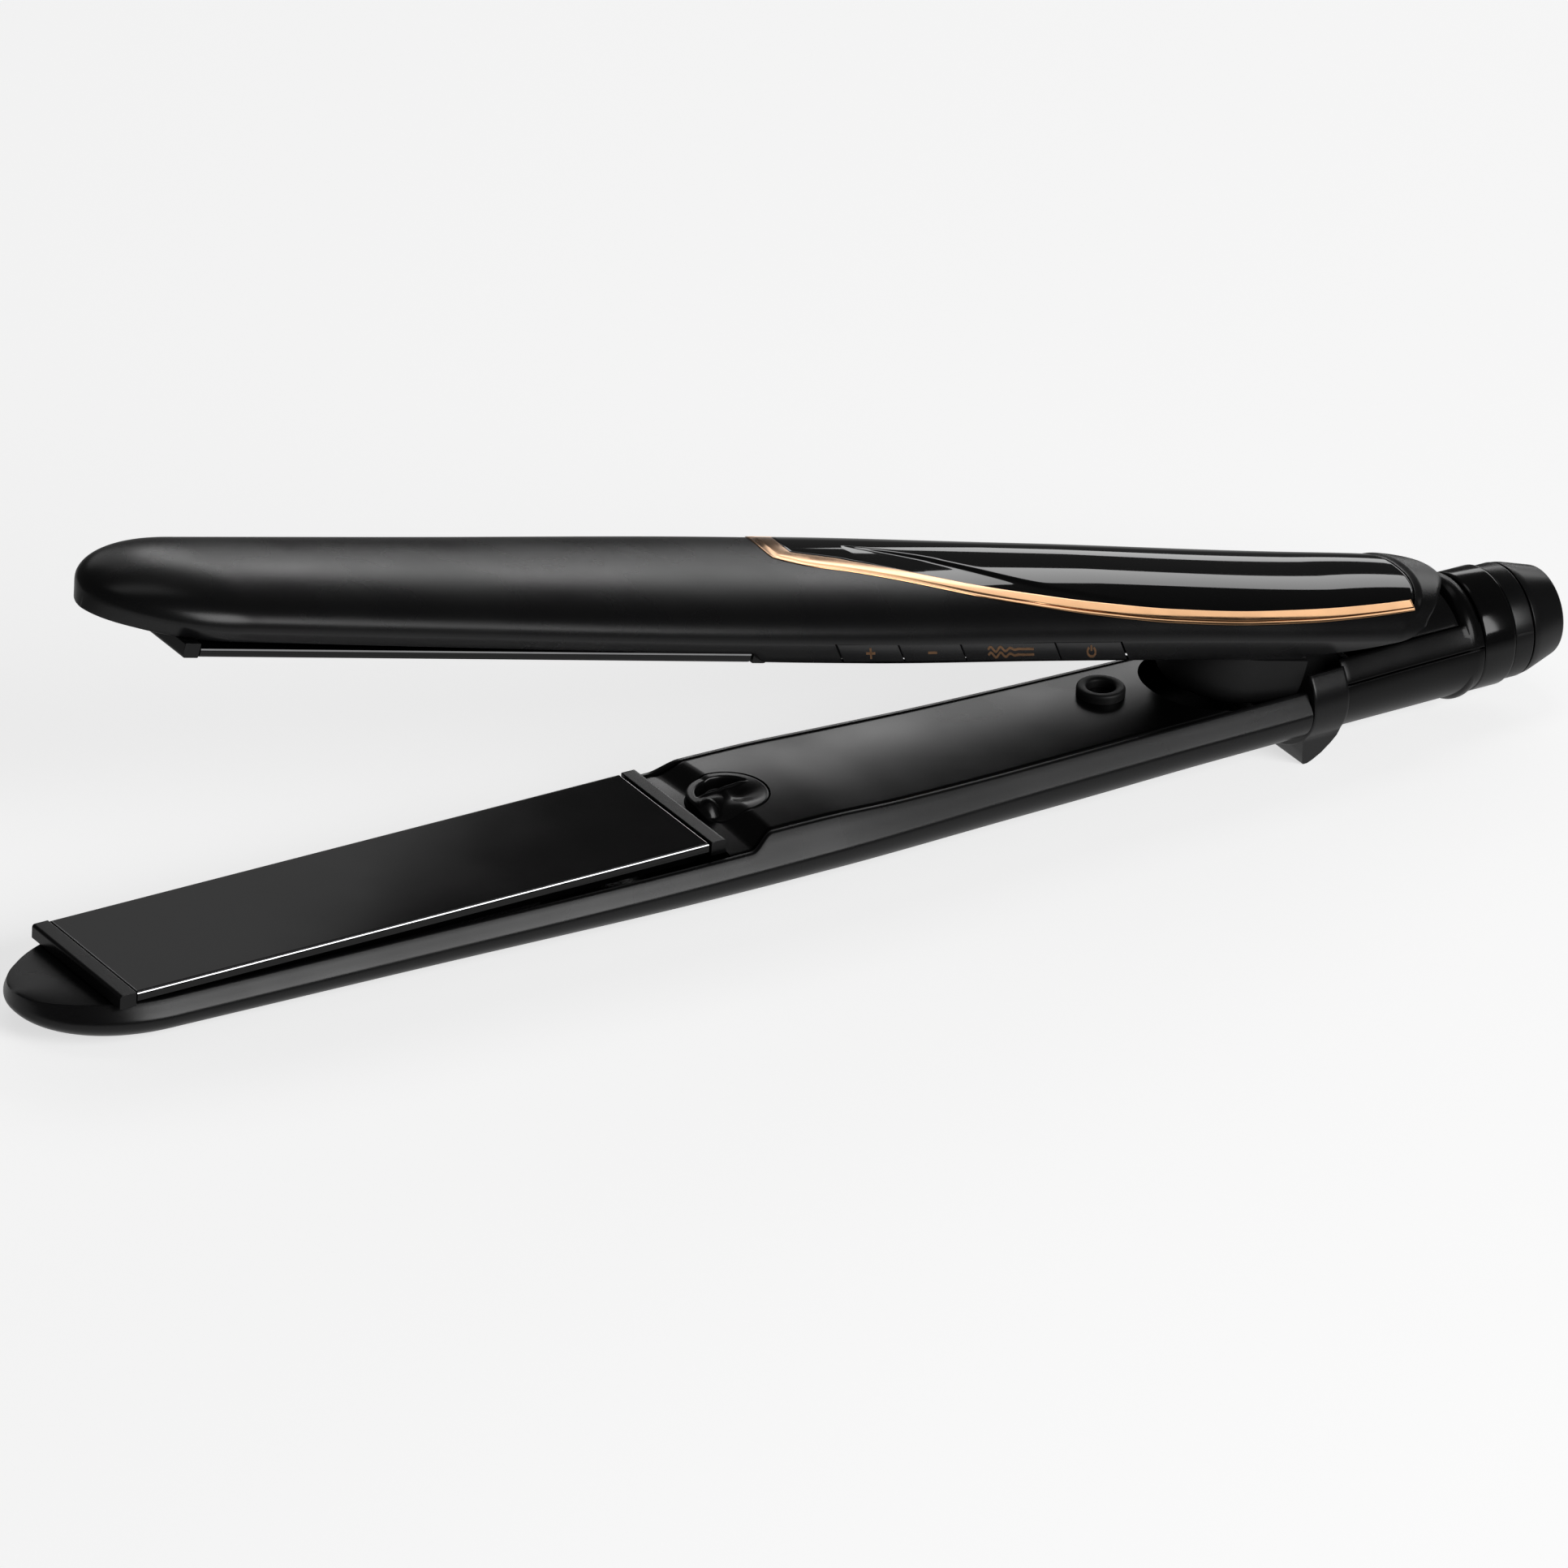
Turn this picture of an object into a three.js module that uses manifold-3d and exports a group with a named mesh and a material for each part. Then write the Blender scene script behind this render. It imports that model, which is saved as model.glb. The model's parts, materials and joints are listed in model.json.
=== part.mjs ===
// Hair straightener (flat iron) in millimetres, +Z up, +X towards the cord end, -Y the button side.
// Both arms are drawn closed, in the arm frame: x = 0 on the hinge axis with the tip at negative x,
// z = 0 on the plane where the two plates meet. The arms are then swung open about the hinge, and the
// whole tool is pitched so that it lies on its tip and on the foot of its collar.
import * as THREE from "three";
import { mergeVertices } from "three/addons/utils/BufferGeometryUtils.js";
import Module from "manifold-3d";

const wasm = await Module();
wasm.setup();

// ---- driving dimensions -------------------------------------------------------------------------
const RAD = Math.PI / 180;
const OPEN_DEG = 14; // angle between the arms when open
const PITCH_DEG = 1.57; // the lower arm's slope when the tool lies on a table
const HINGE_Z = -8.5; // hinge axis below the plate plane
const TIP_X = -259; // end of both arms
const TIP_LENGTH = 24; // length over which the plan narrows to the tip
const TIP_CROWN = 22; // length over which the crown falls to the tip
const FACET_Z = 5.4; // height of the crisp edge between facet and crown
const FACET_LEAN = 0.7; // how far the facet leans inwards per millimetre towards the parting plane
const CROWN_POWER = 2.3; // exponent of the superelliptic crown
const WALL = 1.8; // shell thickness
const LIP = 0.7; // thickness of the shell at its rim
const GAP = 0.25; // play between fitted pieces
const UPPER_END = 17.6; // rear end of the upper arm
const LOWER_END = -11.9; // rear end of the lower shell, against the collar

const PLATE = { x0: -243, x1: -133, half: 14, face: 0.1, head: 1.7, foot: 5, stem: 10.5, bevel: 0.9 };
const RETAINER = { length: 4.2, half: 14, face: 0.35, back: 2.5, stem: 9, depth: 5.4 };
const PLATE_END_GAP = 0.2;
const DOME = { x: -23.6, r: 11.4, rear: -14, neck: 8 };
const KNUCKLE = { r: 3.6, half: 5.6, slot: 3.1, play: 1 };
const PIN = { r: 1.5, half: 7.8, play: 0.08 };
const SENSOR = { x: -120.6, r: 7 };
const STOP = { x: -44, y: 2.6, r: 4.2, hole: 2.45, top: 0.5 };
const COLLAR = { x0: -11.6, x1: -4.2, grow: 0.9, side: 30, foot: 9.5, footX: -9.2, footZ: -17.4 };
const TAIL_FRONT = -4;
const TAIL_REAR = 21.5; // rear edge of the tail's covers
const TAIL_END = 26.2; // rear face of the tail
const LOCK_ROD = { z0: 1.1, z1: 2.5 };
const RING = { x0: 27, x1: 33, r: 10.5, bore: 6.2 };
const SLEEVE = { x0: 33.2, x1: 37, r: 10 };
const CAP = { x0: 37.3, x1: 45, r0: 9.9, r1: 7.3, bore: 3.5 };
const AXIS_Z = -5.4; // axis of the tail end, its ring and its cap

// ---- materials ----------------------------------------------------------------------------------
const finish = (color, roughness, metalness = 0) =>
  new THREE.MeshStandardMaterial({ color, roughness, metalness });
const MATTE = finish(0x1c1c1d, 0.55);
const SATIN = finish(0x121213, 0.35);
const GLOSS = finish(0x050505, 0.08);
const COPPER = finish(0xc98a5b, 0.25, 1);
const CERAMIC = finish(0x101011, 0.15, 0.3);
const STEEL = finish(0xb9bcc0, 0.3, 1);
const BRASS = finish(0xc2a14d, 0.35, 1);
const RUBBER = finish(0x161616, 0.8);
const BOARD = finish(0x1f5a35, 0.5);
const HEATER = finish(0xd8d2c4, 0.7);
const MODULE = finish(0x26282b, 0.45);

// ---- geometry helpers ---------------------------------------------------------------------------
// A smooth curve through points that never overshoots them (monotone cubic).
function track(points) {
  const n = points.length;
  const step = points.slice(1).map((p, i) => (p[1] - points[i][1]) / (p[0] - points[i][0]));
  const slope = points.map((_, i) => {
    if (i === 0) return step[0];
    if (i === n - 1) return step[n - 2];
    return step[i - 1] * step[i] <= 0 ? 0 : (2 * step[i - 1] * step[i]) / (step[i - 1] + step[i]);
  });
  return (x) => {
    let i = 0;
    while (i < n - 2 && x > points[i + 1][0]) i += 1;
    const h = points[i + 1][0] - points[i][0];
    const t = Math.min(Math.max((x - points[i][0]) / h, 0), 1);
    const a = (1 + 2 * t) * (1 - t) ** 2 * points[i][1] + t * (1 - t) ** 2 * h * slope[i];
    return a + t * t * (3 - 2 * t) * points[i + 1][1] + t * t * (t - 1) * h * slope[i + 1];
  };
}

function signedVolume(geometry) {
  const p = geometry.attributes.position;
  const index = geometry.index.array;
  const [a, b, c] = [new THREE.Vector3(), new THREE.Vector3(), new THREE.Vector3()];
  let sum = 0;
  for (let i = 0; i < index.length; i += 3) {
    a.fromBufferAttribute(p, index[i]);
    b.fromBufferAttribute(p, index[i + 1]);
    c.fromBufferAttribute(p, index[i + 2]);
    sum += a.dot(b.cross(c));
  }
  return sum / 6;
}

// A geometry with shared vertices and its faces pointing out.
function closed(geometry) {
  geometry.deleteAttribute("normal");
  geometry.deleteAttribute("uv");
  const merged = mergeVertices(geometry, 1e-4);
  const index = Array.from(merged.index.array);
  const clean = [];
  for (let i = 0; i < index.length; i += 3) {
    const [a, b, c] = index.slice(i, i + 3);
    if (a !== b && b !== c && a !== c) clean.push(a, b, c);
  }
  merged.setIndex(clean);
  if (signedVolume(merged) < 0) {
    for (let i = 0; i < clean.length; i += 3) [clean[i + 1], clean[i + 2]] = [clean[i + 2], clean[i + 1]];
    merged.setIndex(clean);
  }
  return merged;
}

function toSolid(geometry) {
  const g = closed(geometry.clone());
  const vertProperties = new Float32Array(g.attributes.position.array);
  const triVerts = new Uint32Array(g.index.array);
  return new wasm.Manifold(new wasm.Mesh({ numProp: 3, vertProperties, triVerts }));
}

function fromSolid(manifold) {
  const m = manifold.getMesh();
  const g = new THREE.BufferGeometry();
  g.setAttribute("position", new THREE.BufferAttribute(new Float32Array(m.vertProperties), 3));
  g.setIndex(new THREE.BufferAttribute(new Uint32Array(m.triVerts), 1));
  return g;
}

const join = (...parts) => fromSolid(parts.map(toSolid).reduce((a, b) => a.add(b)));
const cut = (base, ...tools) => fromSolid(tools.map(toSolid).reduce((a, b) => a.subtract(b), toSolid(base)));
const common = (a, b) => fromSolid(toSolid(a).intersect(toSolid(b)));
const moved = (geometry, x, y, z) => geometry.clone().translate(x, y, z);
const mirrored = (geometry) => closed(geometry.clone().scale(1, 1, -1));

// Three ways to fill a ring with triangles wound the same way as the ring: seen along x, seen along z,
// or, for a ring that runs out and back along a strip, straight across the strip.
function flatCap(ring, view) {
  const contour = ring.map(view);
  const sense = Math.sign(THREE.ShapeUtils.area(contour));
  return THREE.ShapeUtils.triangulateShape(contour, []).map(([a, b, c]) => {
    const area = THREE.ShapeUtils.area([contour[a], contour[b], contour[c]]);
    return Math.sign(area) === sense ? [a, b, c] : [c, b, a];
  });
}

const sideCap = (ring) => flatCap(ring, (p) => new THREE.Vector2(p.y, p.z));
const topCap = (ring) => flatCap(ring, (p) => new THREE.Vector2(p.x, p.y));

function stripCap(ring) {
  const end = ring.length - 1;
  return Array.from({ length: ring.length / 2 - 1 }, (_, i) => [
    [i, i + 1, end - i - 1],
    [i, end - i - 1, end - i],
  ]).flat();
}

// A closed solid through rings of equal point counts.
function loft(rings, cap = sideCap) {
  const count = rings[0].length;
  const last = (rings.length - 1) * count;
  const index = [];
  for (let r = 0; r < last; r += count) {
    for (let i = 0; i < count; i += 1) {
      const a = r + i;
      const b = r + ((i + 1) % count);
      index.push(a, b, b + count, a, b + count, a + count);
    }
  }
  for (const [a, b, c] of cap(rings[0])) index.push(c, b, a);
  for (const face of cap(rings.at(-1))) index.push(...face.map((i) => i + last));
  const g = new THREE.BufferGeometry();
  g.setAttribute("position", new THREE.Float32BufferAttribute(rings.flat().flatMap((p) => p.toArray()), 3));
  g.setIndex(index);
  return closed(g);
}

// A box from its two corners.
function block(x0, x1, y0, y1, z0, z1) {
  const g = new THREE.BoxGeometry(x1 - x0, y1 - y0, z1 - z0);
  return g.translate((x0 + x1) / 2, (y0 + y1) / 2, (z0 + z1) / 2);
}

// An outline of [a, b] points pushed along an axis: "x" takes (y, z), "y" takes (x, z), "z" takes (x, y).
function prism(outline, axis, from, to) {
  const shape = new THREE.Shape(outline.map(([a, b]) => new THREE.Vector2(a, b)));
  const g = new THREE.ExtrudeGeometry(shape, { depth: to - from, bevelEnabled: false });
  g.translate(0, 0, from);
  const turn = new THREE.Matrix4();
  if (axis === "x") turn.set(0, 0, 1, 0, 1, 0, 0, 0, 0, 1, 0, 0, 0, 0, 0, 1);
  if (axis === "y") turn.set(1, 0, 0, 0, 0, 0, 1, 0, 0, 1, 0, 0, 0, 0, 0, 1);
  return closed(g.applyMatrix4(turn));
}

// A turned piece: profile of [radius, distance along the axis].
function turned(profile, axis, segments = 32) {
  const g = new THREE.LatheGeometry(profile.map(([r, d]) => new THREE.Vector2(r, d)), segments);
  if (axis === "x") g.rotateZ(-Math.PI / 2);
  if (axis === "z") g.rotateX(Math.PI / 2);
  return closed(g);
}

const disc = (r, from, to, axis, segments) =>
  turned([[0, from], [r, from], [r, to], [0, to]], axis, segments);

// A chamfered rectangle outline.
function chamfered(a0, a1, b0, b1, c) {
  const low = [[a0, b0 + c], [a0 + c, b0], [a1 - c, b0], [a1, b0 + c]];
  return [...low, [a1, b1 - c], [a1 - c, b1], [a0 + c, b1], [a0, b1 - c]];
}

// ---- arm outline --------------------------------------------------------------------------------
const widest = track([
  [-235, 15.6], [-200, 16.6], [-133, 18.2], [-110, 18], [-70, 16.2], [-40, 15.2], [-10, 14.6], [20, 13],
]);
const upperCrown = track([
  [-236, 12], [-180, 12.2], [-120, 12.8], [-60, 13.1], [-10, 12.5], [8, 12.7], [18, 12.4],
]);
const lowerCrown = track([[-236, 11.1], [-180, 11.9], [-120, 13.3], [-60, 13.9], [-30, 13.5], [-6, 13.3]]);
const upperRim = track([[-260, 2.7], [-126, 2.7], [-121, 0.8], [20, 0.8]]);
const lowerRim = track([
  [-260, 2.7], [-126, 2.7], [-121, 0.6], [-110, 0.7], [-95, 1.3], [-70, 1.9], [-38, 2.1], [-6, 2.2],
]);

function halfWidth(x) {
  const start = TIP_X + TIP_LENGTH;
  if (x >= start) return widest(x);
  return widest(start) * Math.sqrt(Math.max(0, 1 - ((start - x) / TIP_LENGTH) ** 2));
}

function crownHeight(x, crown) {
  const start = TIP_X + TIP_CROWN;
  if (x >= start) return crown(x);
  const fall = Math.sqrt(Math.max(0, 1 - ((start - x) / TIP_CROWN) ** 2.2));
  return FACET_Z + (crown(start) - FACET_Z) * fall;
}

// A point on the crown: turn runs from 0 at the near facet edge to pi at the far one.
function crownPoint(x, turn, crown, inset = 0) {
  const w = halfWidth(x) - inset;
  const h = crownHeight(x, crown) - inset - FACET_Z;
  const c = Math.cos(turn);
  const y = -w * Math.sign(c) * Math.abs(c) ** (2 / CROWN_POWER);
  return new THREE.Vector3(x, y, FACET_Z + h * Math.sin(turn) ** (2 / CROWN_POWER));
}

const CROWN_STEPS = 12;
const turns = Array.from({ length: CROWN_STEPS + 1 }, (_, i) => (Math.PI * i) / CROWN_STEPS);
const facetIn = (x, z) => FACET_LEAN * (FACET_Z - z) * Math.min(1, halfWidth(x) / 10);

function outerRing(x, crown, rim) {
  const y = halfWidth(x) - facetIn(x, rim(x));
  const arc = turns.map((t) => crownPoint(x, t, crown));
  return [new THREE.Vector3(x, -y, rim(x)), ...arc, new THREE.Vector3(x, y, rim(x))];
}

function innerRing(x, crown, rim) {
  const y = halfWidth(x) - facetIn(x, rim(x)) - LIP;
  const arc = turns.map((t) => crownPoint(x, t, crown, WALL));
  const side = (s) => [new THREE.Vector3(x, s * y, rim(x) - 4), new THREE.Vector3(x, s * y, rim(x) + 0.6)];
  return [...side(-1), ...arc, ...side(1).reverse()];
}

const TIP_STATIONS = [0.25, 1.2, 2.7, 4.8, 7.5, 11, 15, 19.5, 24].map((d) => TIP_X + d);
const PLATE_STATIONS = [-222, -205, -188, -170, -152, -135, -126];
const HANDLE_STATIONS = [-124.5, -122.5, -121, -110, -98, -86, -74, -62, -50, -38, -28, -20];
const CAVITY_START = -246.6;

function shell(crown, rim, rearStations) {
  const stations = [...TIP_STATIONS, ...PLATE_STATIONS, ...HANDLE_STATIONS, ...rearStations];
  const inside = [CAVITY_START, ...stations.filter((x) => x > CAVITY_START + 1), rearStations.at(-1) + 3];
  const outer = loft(stations.map((x) => outerRing(x, crown, rim)));
  return cut(outer, loft(inside.map((x) => innerRing(x, crown, rim))));
}

// A cover between the rims of a shell, from its parting face inwards.
function liner(stations, face, rim, thick, play) {
  const ring = (x) => {
    const y = halfWidth(x) - facetIn(x, rim(x)) - LIP - play;
    const z = face(x);
    return [[-y, z], [y, z], [y, z + thick], [-y, z + thick]].map(([py, pz]) => new THREE.Vector3(x, py, pz));
  };
  return loft(stations.map(ring));
}

// ---- pieces that both arms share, drawn for the upper arm ----------------------------------------
function retainer(x0) {
  const { length, half, face, back, stem, depth } = RETAINER;
  const bar = prism(chamfered(x0, x0 + length, face, back, 0.5), "y", -half, half);
  return join(bar, block(x0 + 1, x0 + length - 0.7, -stem, stem, back - 0.3, depth));
}

function plate() {
  const { x0, x1, half, face, head, foot, stem, bevel } = PLATE;
  const side = [[half - bevel, face], [half, face + bevel], [half, head], [stem, head], [stem, foot]];
  const outline = [...side, ...side.map(([y, z]) => [-y, z]).reverse()];
  return prism(outline, "x", x0 + PLATE_END_GAP, x1 - PLATE_END_GAP);
}

const heater = () => block(-236, -140, -6.8, 6.8, PLATE.foot + 0.2, PLATE.foot + 2);

// A sheet-metal channel that holds the heater against its plate.
function heaterClip() {
  const crown = PLATE.foot + 2.6;
  const outline = [
    [7.1, PLATE.foot + 0.2],
    [7.7, PLATE.foot + 0.2],
    [7.7, crown],
    [-7.7, crown],
    [-7.7, PLATE.foot + 0.2],
    [-7.1, PLATE.foot + 0.2],
    [-7.1, crown - 0.4],
    [7.1, crown - 0.4],
  ];
  return prism(outline, "x", -214, -162);
}

const thermistor = () =>
  prism(chamfered(8.2, 10.2, PLATE.foot + 0.2, PLATE.foot + 1.6, 0.4), "x", -192, -185);
const cushion = (x) => prism(chamfered(-4, 4, PLATE.foot + 3.5, PLATE.foot + 4.4, 0.3), "x", x - 5, x + 5);

// A small screw with its slotted head towards the parting plane.
function screw(x, y, z) {
  const profile = [[0, 0], [1.2, 0], [1.7, 0.5], [1.7, 1.2], [0.8, 1.2], [0.8, 3.6], [0, 3.6]];
  return moved(cut(turned(profile, "z", 16), block(-2, 2, -0.25, 0.25, -0.1, 0.5)), x, y, z);
}

function lead(points, radius) {
  const path = new THREE.CatmullRomCurve3(points.map((p) => new THREE.Vector3(...p)));
  const section = new THREE.Shape(new THREE.Path().absarc(0, 0, radius, 0, 2 * Math.PI).getPoints(2));
  return closed(new THREE.ExtrudeGeometry(section, { extrudePath: path, steps: 10, bevelEnabled: false }));
}

// ---- copper-edged gloss panel on the upper arm ---------------------------------------------------
// Its edges as angles round the crown, 0 at the near facet edge and 180 at the far one.
const panelNear = track([
  [-124, 92], [-117, 81], [-110, 76], [-102, 70], [-80, 45.6], [-64, 30],
  [-47, 20], [-34, 18], [-20, 21], [-2, 30], [14, 41],
]);
const panelFar = track([[-124, 137], [-110, 141], [-80, 147], [-47, 152], [-20, 152], [14, 146]]);
const panelFront = (turn) => -122.6 + 4 * Math.max(0, (turn - 91) / 46) ** 1.5;
const panelRear = (turn) => 5.2 + 5 * Math.sin((0.8 * Math.PI * (turn - 35)) / 111);
const TRIM_WIDTH = 1.4;
const POCKET = 1;
const PANEL_THICK = 0.8;

// The angle of a panel edge at x, moved into the panel by inset millimetres.
function edgeTurn(edge, x, inset) {
  const turn = edge(x) * RAD;
  const ahead = crownPoint(x, turn + 0.02, upperCrown);
  const speed = ahead.distanceTo(crownPoint(x, turn - 0.02, upperCrown)) / 0.04;
  const slope = speed * RAD * (edge(x + 0.5) - edge(x - 0.5));
  return turn + (inset * Math.hypot(1, slope)) / speed;
}

// The angle at x of the line that divides the panel's width in the ratio v.
function patchTurn(x, v, inset) {
  const near = edgeTurn(panelNear, x, inset);
  return near + (edgeTurn(panelFar, x, -inset) - near) * v;
}

// Where that line meets an end of the panel, found by going back and forth between x and angle.
function patchEnd(end, shift, v, inset) {
  let x = end(90) + shift;
  for (let i = 0; i < 6; i += 1) x = end(patchTurn(x, v, inset) / RAD) + shift;
  return x;
}

// A patch of the crown between the panel's edges and between two heights over the crown.
function crownPatch(inset, rearInset, low, high) {
  const [along, across] = [26, 12];
  const spot = (i, j) => {
    const v = j / across;
    const front = patchEnd(panelFront, inset, v, inset);
    const rear = patchEnd(panelRear, -rearInset, v, inset);
    const x = front + (rear - front) * (i / along);
    return [x, patchTurn(x, v, inset)];
  };
  const raised = (x, turn, lift) => {
    const ahead = crownPoint(x + 0.5, turn, upperCrown).sub(crownPoint(x - 0.5, turn, upperCrown));
    const round = crownPoint(x, turn + 0.02, upperCrown).sub(crownPoint(x, turn - 0.02, upperCrown));
    return crownPoint(x, turn, upperCrown).addScaledVector(ahead.cross(round).normalize(), lift);
  };
  const row = (i, lift) => Array.from({ length: across + 1 }, (_, j) => raised(...spot(i, j), lift));
  const rings = Array.from({ length: along + 1 }, (_, i) => [...row(i, low), ...row(i, high).reverse()]);
  return loft(rings, stripCap);
}

const panelPocket = () => crownPatch(-GAP, -GAP, -POCKET, 3);
const glossPanel = () => crownPatch(TRIM_WIDTH + GAP, GAP, -PANEL_THICK, 0);
const copperTrim = () => cut(crownPatch(0, 0, -PANEL_THICK, 0.1), crownPatch(TRIM_WIDTH, -6, -3, 3));

// ---- row of buttons in the near facet of the upper arm -------------------------------------------
// The row has its own frame: x along the facet, y into the arm, z up the facet.
const BUTTON_EDGES = [-119, -107, -93.2, -72.8, -59];
const BUTTON_NAMES = ["plus_button", "minus_button", "mode_button", "power_button"];
const BUTTON_SLANT = 3.6;
const BUTTON_HALF = 2.1;
const BUTTON_DEPTH = 2.2;
const SWITCH = { half: 2.2, front: 2.85, back: 4.3 };
const ROW_X = (BUTTON_EDGES[0] + BUTTON_EDGES.at(-1)) / 2;
const ROW_Z = 3.2;

function rowFrame() {
  const [first, last] = [BUTTON_EDGES[0], BUTTON_EDGES.at(-1)];
  const along = new THREE.Vector3(last - first, widest(first) - widest(last), 0).normalize();
  const up = new THREE.Vector3(0, -FACET_LEAN, 1).normalize();
  const into = new THREE.Vector3().crossVectors(up, along).normalize();
  up.crossVectors(along, into);
  const y = (widest(first) + widest(last)) / 2 - FACET_LEAN * (FACET_Z - ROW_Z);
  return new THREE.Matrix4().makeBasis(along, into, up).setPosition(ROW_X, -y, ROW_Z);
}

// A slanted block of the row between two of its edges, grown all round by grow.
function slanted(x0, x1, grow, from, to) {
  const h = BUTTON_HALF + grow;
  const s = (BUTTON_SLANT * h) / (2 * BUTTON_HALF);
  const outline = [[x0 - grow + s, -h], [x1 + grow + s, -h], [x1 + grow - s, h], [x0 - grow - s, h]];
  return prism(outline.map(([x, z]) => [x - ROW_X, z]), "y", from, to);
}

const buttonSlot = () => slanted(BUTTON_EDGES[0], BUTTON_EDGES.at(-1), GAP, -3, 3.4).applyMatrix4(rowFrame());

// ---- ends of the upper shell ----------------------------------------------------------------------
// The cheeks rise to the rear, so that the tail of the lower arm turns between them.
function cheekCut() {
  const edge = [[-15.7, 0.8], [-7.3, 2], [-1.7, 3.6], [4.3, 5.6], [8.8, 7.6]];
  return prism([[-16, -6], ...edge, [30, 7.6], [30, -6]], "y", -25, 25);
}

// The rear end is a curve in plan, furthest back on the middle line.
function rearCut() {
  const near = [
    [UPPER_END, 0.4], [17.2, 2.5], [15.4, 5.4], [12.8, 8.6], [10.6, 11.2], [8.6, 13.4], [8.6, 25],
  ];
  const far = near.map(([x, y]) => [x, -y]).reverse();
  return prism([...near, [40, 25], [40, -25], ...far], "z", -20, 40);
}

function upperShell() {
  const blank = shell(upperCrown, upperRim, [-10, 0, 8, 13, UPPER_END + 0.4]);
  return cut(blank, cheekCut(), rearCut(), panelPocket(), buttonSlot());
}

// ---- hinge ----------------------------------------------------------------------------------------
// The tongue hangs from the upper arm into the lower arm: flange, dome, neck and two knuckles.
function stadium(r, z) {
  const arc = Array.from({ length: 13 }, (_, i) => {
    const turn = Math.PI / 2 + (Math.PI * i) / 12;
    return new THREE.Vector3(DOME.x + r * Math.cos(turn), r * Math.sin(turn), z);
  });
  return [...arc, new THREE.Vector3(DOME.rear, -r, z), new THREE.Vector3(DOME.rear, r, z)];
}

const pinBore = () => disc(PIN.r + PIN.play, -20, 20, "y", 28).translate(0, 0, HINGE_Z);

function hingeTongue() {
  const { neck, rear } = DOME;
  const { r, half, slot, play } = KNUCKLE;
  const levels = [
    [5.5, -9.7], [8.4, -8.9], [10.2, -7.3], [11.1, -5], [DOME.r, -2], [DOME.r, 0.2], [10.4, 0.6], [10.4, 1.2],
  ];
  const dome = loft(levels.map(([radius, z]) => stadium(radius, z)), topCap);
  const outline = [[-36.4, 10.4], [rear, 10.4], [rear, neck], [-3, neck]];
  const flange = prism([...outline, ...outline.map(([x, y]) => [x, -y]).reverse()], "z", 0.95, 1.95);
  const under = HINGE_Z - 1.2;
  const web = [[-15, 1.5], [-15, -9], [-9, under], [0, under], [0, HINGE_Z + 3.4], [-5, 1.5]];
  const knuckle = disc(r, -half, half, "y", 28).translate(0, 0, HINGE_Z);
  const coilRoom = disc(r + play, -slot, slot, "y", 28).translate(0, 0, HINGE_Z);
  return cut(join(dome, flange, prism(web, "y", -half, half), knuckle), pinBore(), coilRoom);
}

// A steel bracket in the tail whose two ears hold the pin on either side of the knuckles.
function hingeBracket() {
  const [inside, outside, tall] = [5.9, 6.9, 2.4];
  const ear = (y) => {
    const eye = disc(tall, y, y + outside - inside, "y", 24).translate(0, 0, HINGE_Z);
    return join(eye, block(0, 6.6, y, y + outside - inside, HINGE_Z - tall, HINGE_Z + tall));
  };
  const back = block(5.4, 6.6, -outside, outside, HINGE_Z - tall, HINGE_Z + tall);
  return cut(join(ear(-outside), ear(inside), back), pinBore());
}

function hingeSpring() {
  const [coilTurns, pitch, radius, wire] = [4.5, 1.1, 3.1, 0.42];
  class Helix extends THREE.Curve {
    getPoint(t, target = new THREE.Vector3()) {
      const turn = 2 * Math.PI * coilTurns * t;
      const y = pitch * coilTurns * (t - 0.5);
      return target.set(radius * Math.cos(turn), y, HINGE_Z + radius * Math.sin(turn));
    }
  }
  const section = new THREE.Shape(new THREE.Path().absarc(0, 0, wire, 0, 2 * Math.PI).getPoints(2));
  const options = { extrudePath: new Helix(), steps: 54, bevelEnabled: false };
  return closed(new THREE.ExtrudeGeometry(section, options));
}

function pinClip(y) {
  const bore = PIN.r + PIN.play;
  const profile = [[bore, y], [2.2, y], [2.2, y + 0.45], [bore, y + 0.45], [bore, y]];
  return turned(profile, "y", 24).translate(0, 0, HINGE_Z);
}

// ---- tail -----------------------------------------------------------------------------------------
const tailHalf = track([[-16, 13.2], [-4, 12.6], [10, 11.7], [22, 10.8], [30, 10.8]]);
const tailTall = track([[-16, 10.2], [-4, 10.2], [10, 10.3], [22, 10.3], [30, 10.3]]);
const tailMid = track([[-16, -4.9], [-4, -5], [10, -5.2], [22, AXIS_Z], [30, AXIS_Z]]);
const TAIL_STATIONS = [TAIL_FRONT, 2, 8, 15, TAIL_REAR];
const SEAM_TOP = 38; // seam under the top cover, in degrees round the tail from its near side
const SEAM_LOW = 13; // seam over the lower cover
const SEAM_GAP = 0.9;
const TAIL_WALL = 1.4;

const tailPoint = (x, degrees, grow) =>
  new THREE.Vector3(
    x,
    -(tailHalf(x) + grow) * Math.cos(degrees * RAD),
    tailMid(x) + (tailTall(x) + grow) * Math.sin(degrees * RAD),
  );

// A wall of the tail between two angles, measured from the near side over the top.
function tailWall(stations, from, to, grow, thick, steps) {
  const arc = (x, g) =>
    Array.from({ length: steps + 1 }, (_, i) => tailPoint(x, from + ((to - from) * i) / steps, g));
  return loft(stations.map((x) => [...arc(x, grow), ...arc(x, grow - thick).reverse()]), stripCap);
}

const tailCore = (from, to, grow) =>
  loft([from, to].map((x) => Array.from({ length: 36 }, (_, i) => tailPoint(x, 10 * i, grow))));

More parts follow.
